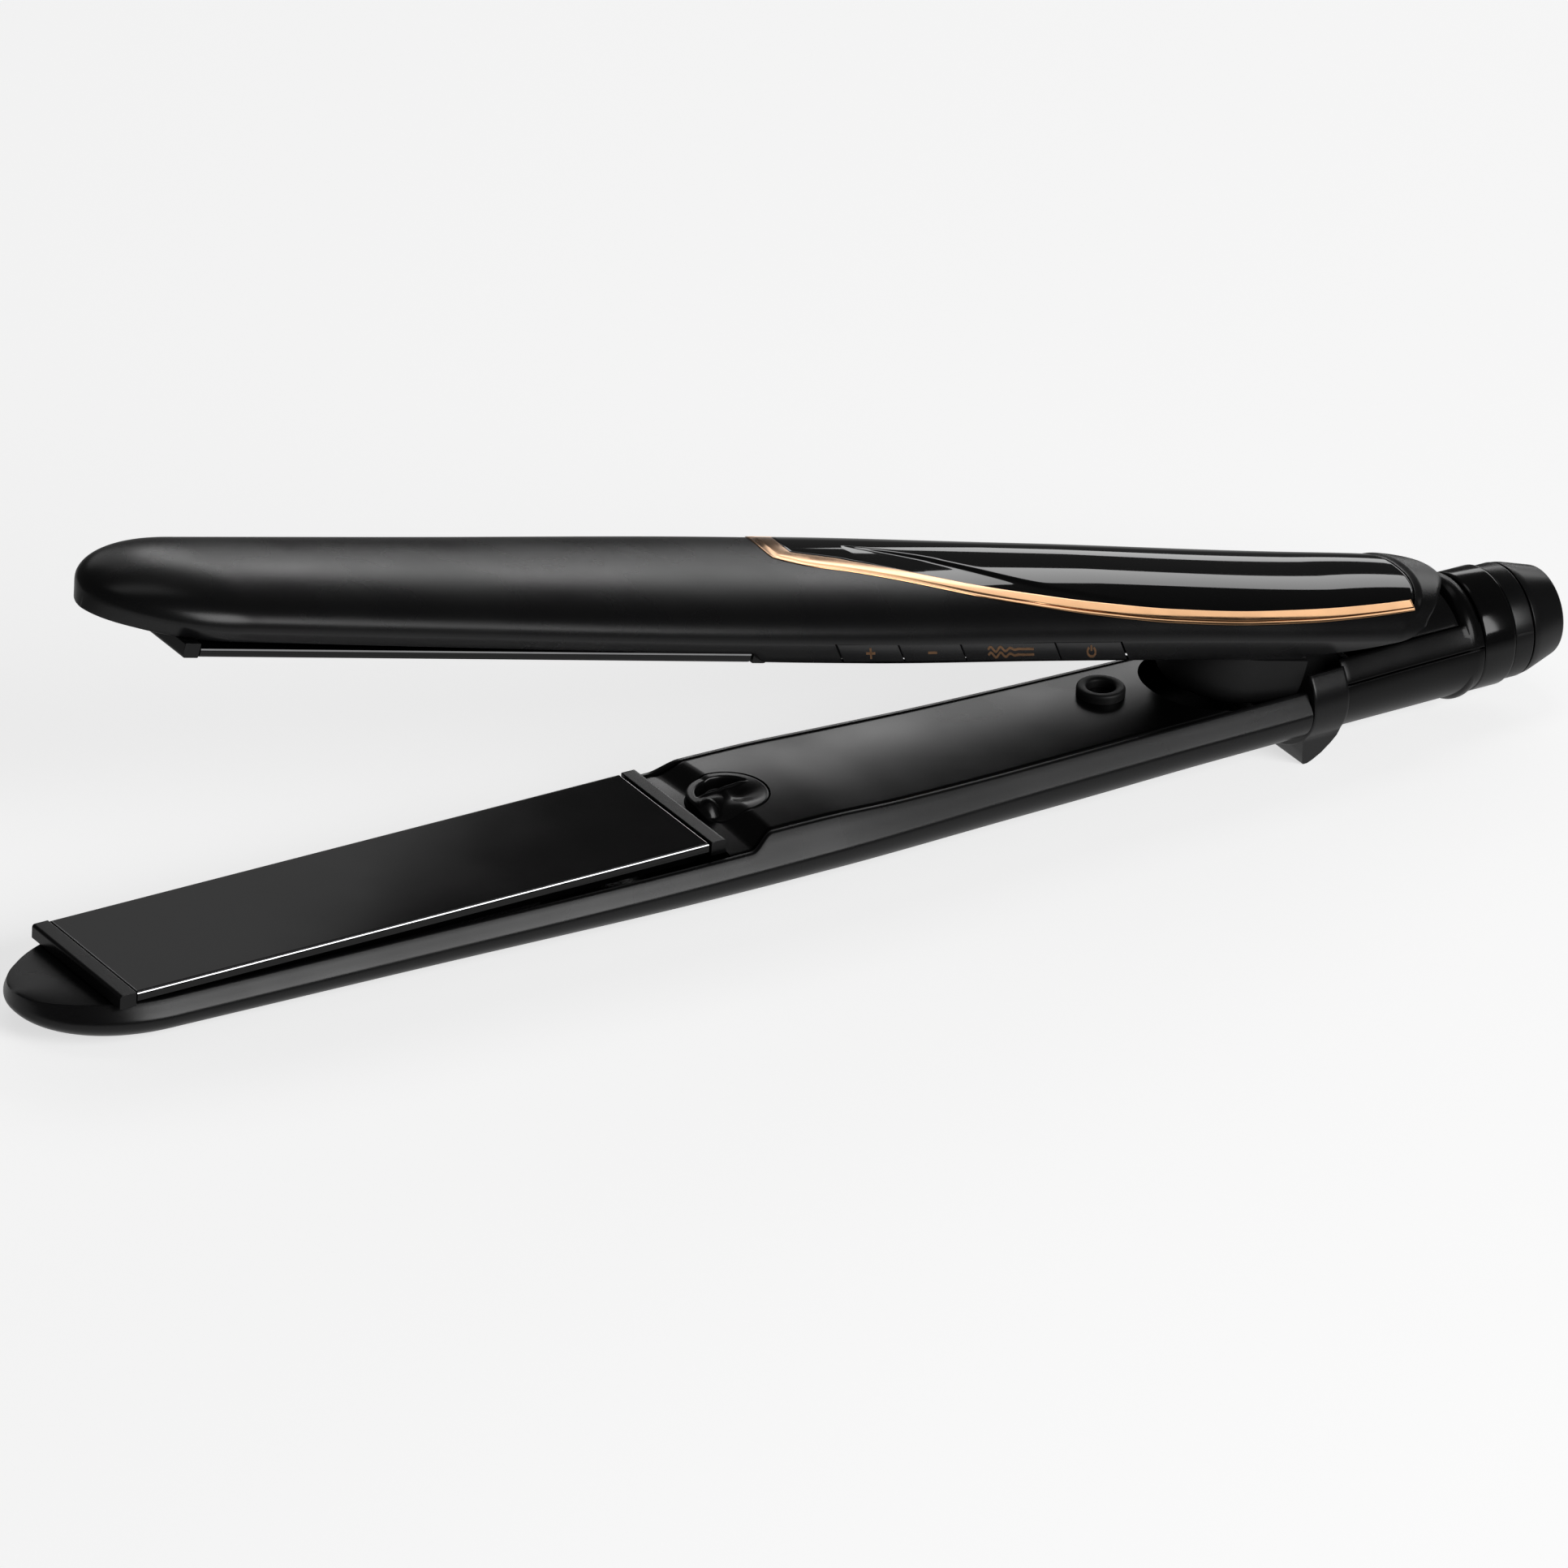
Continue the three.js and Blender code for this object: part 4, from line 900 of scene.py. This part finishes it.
def sensor_housing():
    """A round seat with a slot cut along a chord, a rounded bulb beside it and a scooped floor."""
    rings, around = 90, 220
    radii = SENSOR_R * np.linspace(0.004, 1.0, rings)
    turn = np.linspace(0, 2 * math.pi, around, endpoint=False)
    r, a = np.meshgrid(radii, turn, indexing="ij")
    x, y = r * np.cos(a), r * np.sin(a)
    wall = np.clip((y + 4.6) / 4.4, 0, 1)
    seat = np.minimum(lower_face(SENSOR_X + x), 2.8 - 2.0 * wall * wall * (3 - 2 * wall))
    seat = seat + liner_crown(y / 16.5)
    rim = 0.3 * np.clip((r / SENSOR_R - 0.94) / 0.06, 0, 1) ** 2
    scoop = 1.0 * np.exp(-(((x - 1.6) / 3.2) ** 2 + ((y + 1.4) / 2.2) ** 2))
    edge = 1.75 + 0.08 * x
    slot_r, slot_deep = 5.3, 2.3
    inside = 1 / (1 + np.exp((r - slot_r) / 0.07)) / (1 + np.exp((edge - y) / 0.07))
    bulb = -1.15 * np.clip(1 - ((x + 4.8) / 1.75) ** 2 - ((y + 2.0) / 1.75) ** 2, 0, 1) ** 0.85
    lip = -0.3 * np.exp(-(((y - edge + 0.35) / 0.3) ** 2)) * np.clip((slot_r - r) / 1.5, 0, 1)
    fade = np.clip((SENSOR_R - r) / 0.6, 0, 1)
    z = seat + rim + (scoop + bulb + lip) * fade + slot_deep * inside
    verts = list(np.stack([x, y, z], -1).reshape(-1, 3))
    faces = []
    for i in range(rings - 1):
        for j in range(around):
            k = (j + 1) % around
            faces.append((i * around + j, i * around + k, (i + 1) * around + k, (i + 1) * around + j))
    faces.append(tuple(range(around)))
    base = len(verts)
    verts += [(SENSOR_R * math.cos(t), SENSOR_R * math.sin(t), 6.0) for t in turn]
    last = (rings - 1) * around
    for j in range(around):
        k = (j + 1) % around
        faces.append((last + j, last + k, base + k, base + j))
    faces.append(tuple(range(base, base + around)))
    obj = new_object("sensor_seat", verts, faces)
    obj.data.transform(Matrix.Translation((SENSOR_X, 0, 0)))
    return obj


def stop_ring():
    profile = [(2.45, 1.8), (2.45, 0.1), (3.0, -0.22), (3.9, -0.22), (4.2, 0.1), (4.2, 1.8)]
    return turned("stop_ring_rubber", rounded(profile, 0.35, 5), "z", (STOP_X, STOP_Y, 0))


# ---- hinge -------------------------------------------------------------------------------------------
def stadium(r, z, steps=48):
    """A level section of the dome: a half round at the front and straight sides to the rear."""
    t = math.pi / 2 + math.pi * np.linspace(0, 1, steps)
    arc = np.column_stack([DOME_X + r * np.cos(t), r * np.sin(t), np.full(steps, z)])
    return np.concatenate([arc, [[DOME_REAR, -r, z], [DOME_REAR, r, z]]])


KNUCKLE_R, KNUCKLE_HALF = 3.6, 5.6
BORE_R = 1.58
COIL_R, COIL_HALF = 4.6, 3.1


def pin_turned(name, r, half, soft=0.0, segments=96):
    """A cylinder on the hinge axis."""
    profile = [(0.001, -half, 0), (r, -half), (r, half), (0.001, half, 0)]
    return turned(name, rounded(profile, soft), "y", (0, 0, HINGE_Z), segments)


def hinge_tongue():
    """The dome over the hinge, its flange, and the knuckle that turns on the pin round the spring."""
    radius = track([
        (-9.7, 5.5), (-8.9, 8.4), (-7.3, 10.2), (-5, 11.1), (-2, 11.4), (0.2, 11.4), (0.5, 10.6), (1.2, 10.4),
    ])
    levels = [np.linspace(-9.7, -7, 14), np.linspace(-6.6, -0.2, 12), np.linspace(0, 1.2, 12)]
    dome = loft("hinge_dome", [stadium(float(radius(z)), z) for z in np.concatenate(levels)])
    outline = [(-36.4, 10.4), (DOME_REAR, 10.4), (DOME_REAR, 8), (-3, 8)]
    outline += [(x, -y) for x, y in reversed(outline)]
    under = HINGE_Z - 1.2
    web = [(-15, 1.5), (-15, -9), (-9, under), (0, under), (0, HINGE_Z + 3.4), (-5, 1.5)]
    boolean(dome, prism("flange", rounded(outline, 0.6), "z", 0.95, 1.95), "UNION")
    boolean(dome, prism("web", web, "y", -KNUCKLE_HALF, KNUCKLE_HALF), "UNION")
    boolean(dome, pin_turned("knuckle", KNUCKLE_R, KNUCKLE_HALF, 0.3), "UNION")
    boolean(dome, pin_turned("bore", BORE_R, 20, 0, 48))
    return boolean(dome, pin_turned("coil", COIL_R, COIL_HALF, 0, 64))


# ---- tail --------------------------------------------------------------------------------------------
tail_half = track([(-16, 13.2), (-4, 12.6), (10, 11.8), (22, 11.2), (30, 11.1)])
tail_tall = track([(-16, 10.2), (-4, 10.2), (10, 10.2), (22, 10.1), (30, 10.1)])
tail_mid = track([(-16, -4.9), (-4, -5), (10, -5.2), (22, -5.4), (30, -5.4)])
SEAM_TOP, SEAM_LOW, SEAM_GAP = 38, 13, 1.1


def tail_points(x, degrees, grow):
    """Points of the tail's oval section, drawn out by grow; the angle starts at the near side."""
    a = np.radians(degrees)
    y = -(tail_half(x) + grow) * np.cos(a)
    z = tail_mid(x) + (tail_tall(x) + grow) * np.sin(a)
    return np.stack(np.broadcast_arrays(x, y, z), -1)


def tail_wall(name, x0, x1, start, end, grow, thick, steps, soft=0.22, stations=24):
    """A curved wall of the tail with softly rounded outer edges."""
    length = x1 - x0
    first = soft * (1 - np.cos(np.linspace(0.3, math.pi / 2, 4)))
    middle = np.linspace(soft, length - soft, stations)[1:-1]
    s = np.unique(np.concatenate([[0], first, middle, [length - soft, length - soft * 0.3, length]]))
    span = math.radians(end - start) * 11
    edge = np.array([0.15, 0.5, 1.0]) * soft / span
    middle = np.linspace(soft / span, 1 - soft / span, steps)[1:-1]
    v = np.unique(np.concatenate([[0], edge, middle, 1 - edge, [1]]))
    x = (x0 + s)[:, None]
    degrees = (start + (end - start) * v)[None, :]
    edge_x = np.minimum(s, length - s)[:, None]
    edge_v = np.minimum(v, 1 - v)[None, :] * span
    near = np.minimum(edge_x, edge_v)
    drop = soft * (1 - np.sqrt(1 - (1 - np.clip(near / soft, 0, 1)) ** 2))
    return slab(name, tail_points(x, degrees, grow - drop), tail_points(x, degrees, grow - thick))


TAIL_START, TAIL_END, TAIL_WALL = -4, 26.0, 1.4
COVER_START, COVER_END = 7.5, 21.7
MOUTH_R = 11.1


def build_tail():
    """The tail's frame with its round mouth, the cover on top and the lower cover."""
    frame_side = tail_wall("tail_frame_body", TAIL_START, TAIL_END, SEAM_LOW, SEAM_TOP, 0, 1.6, 10)
    far = tail_wall("far", TAIL_START, TAIL_END, 180 - SEAM_TOP, 180 - SEAM_LOW, 0, 1.6, 10)
    bulge = [(6, 21.9, 0.1), (9.8, 21.9), (MOUTH_R, 23.0, 0.9)]
    bulge += [(MOUTH_R, 24.9, 0.9), (10.2, 26.15, 0.2), (6, 26.15, 0.1)]
    boolean(frame_side, far, "UNION")
    boolean(frame_side, turned("mouth", rounded(bulge, 0.3), "x", (0, 0, AXIS_Z)), "UNION")
    slot = [(-2.6, AXIS_Z + 5), (2.6, AXIS_Z + 5), (2.6, 2.75), (-2.6, 2.75)]
    boolean(frame_side, prism("rod_slot", slot, "x", 20, 30))
    place(frame_side, LOWER, "lower_arm", SATIN_BLACK, ["tail_frame"])
    top = SEAM_TOP + SEAM_GAP
    cover = tail_wall("tail_cover_skin", COVER_START, COVER_END, top, 180 - top, 0, TAIL_WALL, 50)
    place(cover, LOWER, "lower_arm", GLOSSY_TRIM, ["tail_cover"])
    past = SEAM_LOW - SEAM_GAP
    under = tail_wall("tail_lower_skin", TAIL_START, TAIL_END, 180 - past, 360 + past, 0, TAIL_WALL, 90)
    place(under, LOWER, "lower_arm", SATIN_BLACK, ["tail_lower"])


COLLAR_START, COLLAR_END = -11.6, -4.2


def foot_level(x):
    """Height of the floor under the tool in the lower arm's frame."""
    return -17.4 - (x + 9.2) * math.tan(PITCH)


def foot_collar():
    """The collar round the tail, with a fin across it that the tool stands on."""
    band = tail_wall("collar_band", COLLAR_START, COLLAR_END, 147, 393, 0.9, TAIL_WALL, 120, 0.35)
    band.data.transform(Matrix.Diagonal((1, 1.055, 1, 1)))
    front = [(COLLAR_START, -10.5), (-11.4, -12.2), (-10.9, -14.6), (-10.2, -16.9), (-9.9, foot_level(-9.9))]
    back = [(-9.1, foot_level(-9.1)), (-8.2, -16.9), (-6.7, -15.6), (-5.3, -13.7), (-4.5, -12.2)]
    fin = prism("fin", front + back + [(COLLAR_END, -10.5)], "y", -20, 20)
    flare = [(-9.5, -18.4), (9.5, -18.4), (12.7, -9), (-12.7, -9)]
    boolean(fin, prism("flare", flare, "x", -40, 20), "INTERSECT")
    ring = [[tuple(p) for p in tail_points(x, np.arange(0, 360, 5), 0.6)] for x in (-30, 10)]
    boolean(fin, loft("core", ring))
    return boolean(band, fin, "UNION")


LOCK_BORE = 6.2
RING_SPAN, RING_R = (26.5, 33), 10.5
SLEEVE_SPAN, SLEEVE_R = (33.2, 37), 10
CAP_START, CAP_END = 37.3, 44.98


def ring_profile(span, r, soft):
    x0, x1 = span
    return rounded([(LOCK_BORE, x0, 0.1), (r, x0), (r, x1), (LOCK_BORE, x1, 0.1)], soft, 5)


def build_cord_end():
    """The sliding lock ring, its sleeve with an index line, and the swivelling cord cap."""
    ring = turned("lock_ring_gloss", ring_profile(RING_SPAN, RING_R, 0.6), "x", (0, 0, AXIS_Z))
    place(ring, LOWER, "lock_collar", RING_GLOSS, ["lock_ring"])
    sleeve = turned("lock_sleeve_band", ring_profile(SLEEVE_SPAN, SLEEVE_R, 0.3), "x", (0, 0, AXIS_Z))
    place(sleeve, LOWER, "lock_collar", SOFT_BLACK, ["lock_sleeve"])
    low, high = SLEEVE_R - 0.3, SLEEVE_R + 0.06
    line = [(-0.22, low), (0.22, low), (0.22, high), (-0.22, high)]
    mark = bevel(prism("lock_index_line", line, "x", SLEEVE_SPAN[0] + 0.2, SLEEVE_SPAN[1] - 0.2), 0.05, 2)
    mark.data.transform(Matrix.Translation((0, 0, AXIS_Z)) @ Matrix.Rotation(math.radians(78), 4, "X"))
    place(mark, LOWER, "lock_collar", DARK_MATTE)
    profile = [(3.5, CAP_START, 0.1), (9.9, CAP_START, 0.2), (9.75, CAP_START + 1.1, 0.6)]
    profile += [(7.75, CAP_END, 0.9), (3.9, CAP_END, 0.3), (3.5, CAP_END - 0.48, 0.2)]
    cap = turned("swivel_cap_body", rounded(profile, 0.3, 6), "x", (0, 0, AXIS_Z))
    place(cap, LOWER, "swivel", SOFT_BLACK, ["swivel_cap"])


# ---- assembly ----------------------------------------------------------------------------------------
place(lower_shell(), LOWER_TWIN, "lower_arm", SOFT_BLACK, ["lower_shell"])

upper = arm_shell("arm_shell_upper", upper_crown, upper_rim, UPPER_END, upper_shell_rings())
cheek = [(x, float(cheek_line(x))) for x in np.linspace(-15.7, 8.8, 30)]
cheek = [(-16.0, -6.0)] + cheek + [(30, 7.6), (30, -6)]
boolean(upper, prism("cheek", cheek, "y", -25, 25))
boolean(upper, pocket_tool())
boolean(upper, slot_tool())
place(upper, UPPER, "upper_arm", SOFT_BLACK, ["upper_shell"])

place(gloss_panel(), UPPER, "upper_arm", GLOSS_BLACK, ["gloss_panel"], 50)
trim = copper_trim()
place(trim, UPPER, "upper_arm", COPPER, ["copper_trim"], 28)
build_keys()
build_liners()
build_plates()
place(sensor_housing(), LOWER_TWIN, "lower_arm", GLOSSY_TRIM, ["sensor_housing"], 60)
place(stop_ring(), LOWER_TWIN, "lower_arm", RUBBER, ["stop_ring"])
place(hinge_tongue(), UPPER, "upper_arm", DARK_MATTE, ["hinge_tongue"])
build_tail()
place(foot_collar(), LOWER, "lower_arm", SOFT_BLACK, ["foot_collar"])
build_cord_end()

CAD_LOOKS = {
    "heater_ceramic": HEATER, "steel": STEEL, "brass": BRASS, "black_rubber": RUBBER,
    "circuit_board": BOARD, "module_plastic": MODULE, "satin_plastic": SATIN_BLACK,
    "gloss_black": GLOSS_BLACK, "matte_shell": SOFT_BLACK, "button_matte": KEY_BLACK,
    "copper": COPPER, "plate_ceramic": CERAMIC,
}
slot_of = {row["node"]: row["material_slot"] for row in frame["record"]["subparts"]}
for node, obj in frame["nodes"].items():
    if not obj.hide_render:
        obj.data.materials.clear()
        obj.data.materials.append(CAD_LOOKS[slot_of[node]])

# ---- stage -------------------------------------------------------------------------------------------
bpy.context.scene.view_settings.view_transform = "Standard"

FLOOR_HALF, FLOOR_Z = 4, -0.0001
floor_mesh = bpy.data.meshes.new("floor")
corners = [(FLOOR_HALF * a, FLOOR_HALF * b, FLOOR_Z) for a, b in ((-1, -1), (1, -1), (1, 1), (-1, 1))]
floor_mesh.from_pydata(corners, [], [(0, 1, 2, 3)])
floor = bpy.data.objects.new("floor", floor_mesh)
bpy.context.scene.collection.objects.link(floor)
pale = Shader("pale_floor", (0.9, 0.9, 0.9), 0.9)
pale.bsdf.inputs["Specular IOR Level"].default_value = 0.0
pale.bsdf.inputs["Emission Color"].default_value = (1, 1, 1, 1)
pale.bsdf.inputs["Emission Strength"].default_value = 0.66
floor_mesh.materials.append(pale.material)
floor.visible_glossy = False

world = bpy.data.worlds.new("studio")
bpy.context.scene.world = world
world.use_nodes = True
world.node_tree.nodes["Background"].inputs["Color"].default_value = (1, 1, 1, 1)
world_nodes, world_links = world.node_tree.nodes, world.node_tree.links
direction = world_nodes.new("ShaderNodeTexCoord")
split = world_nodes.new("ShaderNodeSeparateXYZ")
fade = world_nodes.new("ShaderNodeMapRange")
for socket, value in (("From Min", -0.4), ("From Max", -0.12), ("To Min", 0.4), ("To Max", 0.05)):
    fade.inputs[socket].default_value = value
world_links.new(direction.outputs["Generated"], split.inputs["Vector"])
world_links.new(split.outputs["Z"], fade.inputs["Value"])
world_links.new(fade.outputs["Result"], world_nodes["Background"].inputs["Strength"])


def softbox(name, azimuth, elevation, distance, size, radiance, target=(0, 0, 0.04)):
    """An area light that faces the target; azimuth is measured from +x towards +y, in degrees."""
    a, e = math.radians(azimuth), math.radians(elevation)
    direction = Vector((math.cos(a) * math.cos(e), math.sin(a) * math.cos(e), math.sin(e)))
    light = bpy.data.lights.new(name, "AREA")
    light.shape = "RECTANGLE"
    light.size, light.size_y = size
    light.energy = radiance * math.pi * size[0] * size[1]
    obj = bpy.data.objects.new(name, light)
    bpy.context.scene.collection.objects.link(obj)
    obj.location = Vector(target) + direction * distance
    obj.rotation_mode = "QUATERNION"
    level = Vector((0, 0, 1)).cross(direction).normalized()
    basis = Matrix((level, direction.cross(level), direction)).transposed()
    obj.rotation_quaternion = basis.to_quaternion()
    return obj


softbox("far_strip", 42, 20, 1.7, (1.1, 0.32), 2.1)
softbox("far_low", 38, 2.6, 1.7, (0.78, 0.17), 1.5)
softbox("front_tall", -71, 25, 1.7, (1.0, 0.85), 4.5)
softbox("overhead", 90, 75, 1.6, (1.2, 0.5), 0.6)

# The copper band has a soft light of its own, which reaches nothing else.
copper_glow = softbox("copper_glow", 16, 30, 1.5, (1.9, 0.85), 1.5)
lit_by_it = bpy.data.collections.new("copper_lit")
lit_by_it.objects.link(trim)
copper_glow.light_linking.receiver_collection = lit_by_it

# ---- camera ------------------------------------------------------------------------------------------
AZIMUTH, ELEVATION, ROLL = math.radians(-36.36), math.radians(27.24), math.radians(4.04)
DISTANCE = 3.0
LENS = 405.3
AIM_RIGHT, AIM_UP = -0.03044, -0.00581  # where the frame's middle lies from the hinge, as slopes

reach = math.cos(ELEVATION)
back = Vector((math.sin(AZIMUTH) * reach, -math.cos(AZIMUTH) * reach, math.sin(ELEVATION)))
level = Vector((math.cos(AZIMUTH), math.sin(AZIMUTH), 0))
above = back.cross(level)
right = math.cos(ROLL) * level + math.sin(ROLL) * above
above = math.cos(ROLL) * above - math.sin(ROLL) * level
tilt = Matrix.Rotation(-PITCH, 3, "Y")
back, right, above = tilt @ back, tilt @ right, tilt @ above
facing = (back - right * AIM_RIGHT - above * AIM_UP).normalized()
side = (right - facing * right.dot(facing)).normalized()
camera = bpy.data.objects.new("camera", bpy.data.cameras.new("camera"))
bpy.context.scene.collection.objects.link(camera)
camera.data.lens = LENS
camera.data.sensor_width = 36
camera.data.clip_start, camera.data.clip_end = 0.1, 20
turned_to = Matrix((side, facing.cross(side), facing)).transposed().to_4x4()
camera.matrix_world = Matrix.Translation(HINGE + back * DISTANCE) @ turned_to
bpy.context.scene.camera = camera

# ---- the dim panel whose edge shows in the lower plate -----------------------------------------------
GLOW_SIZE, GLOW_DISTANCE, GLOW_RADIANCE = 0.7, 1.6, 0.36
edge_a, edge_b = (LOWER_TWIN @ Vector(p) for p in ((-195, -9, 0.1), (-168, 12, 0.1)))
normal = (LOWER_TWIN.to_3x3() @ Vector((0, 0, -1))).normalized()


def mirrored(point):
    away = (point - camera.location).normalized()
    return (away - 2 * away.dot(normal) * normal).normalized()


hit_a, hit_b = (p + mirrored(p) * GLOW_DISTANCE for p in (edge_a, edge_b))
ray = mirrored((edge_a + edge_b) / 2)
along = hit_b - hit_a
along = (along - along.dot(ray) * ray).normalized()
lit_side = along.cross(ray)
if lit_side.x > 0:
    lit_side = -lit_side
light = bpy.data.lights.new("plate_glow", "AREA")
light.shape = "RECTANGLE"
light.size, light.size_y = GLOW_SIZE, GLOW_SIZE
light.energy = GLOW_RADIANCE * math.pi * GLOW_SIZE**2
glow = bpy.data.objects.new("plate_glow", light)
bpy.context.scene.collection.objects.link(glow)
glow.location = (hit_a + hit_b) / 2 + lit_side * GLOW_SIZE / 2
glow.rotation_mode = "QUATERNION"
glow.rotation_quaternion = Matrix((along, ray.cross(along), ray)).transposed().to_quaternion()
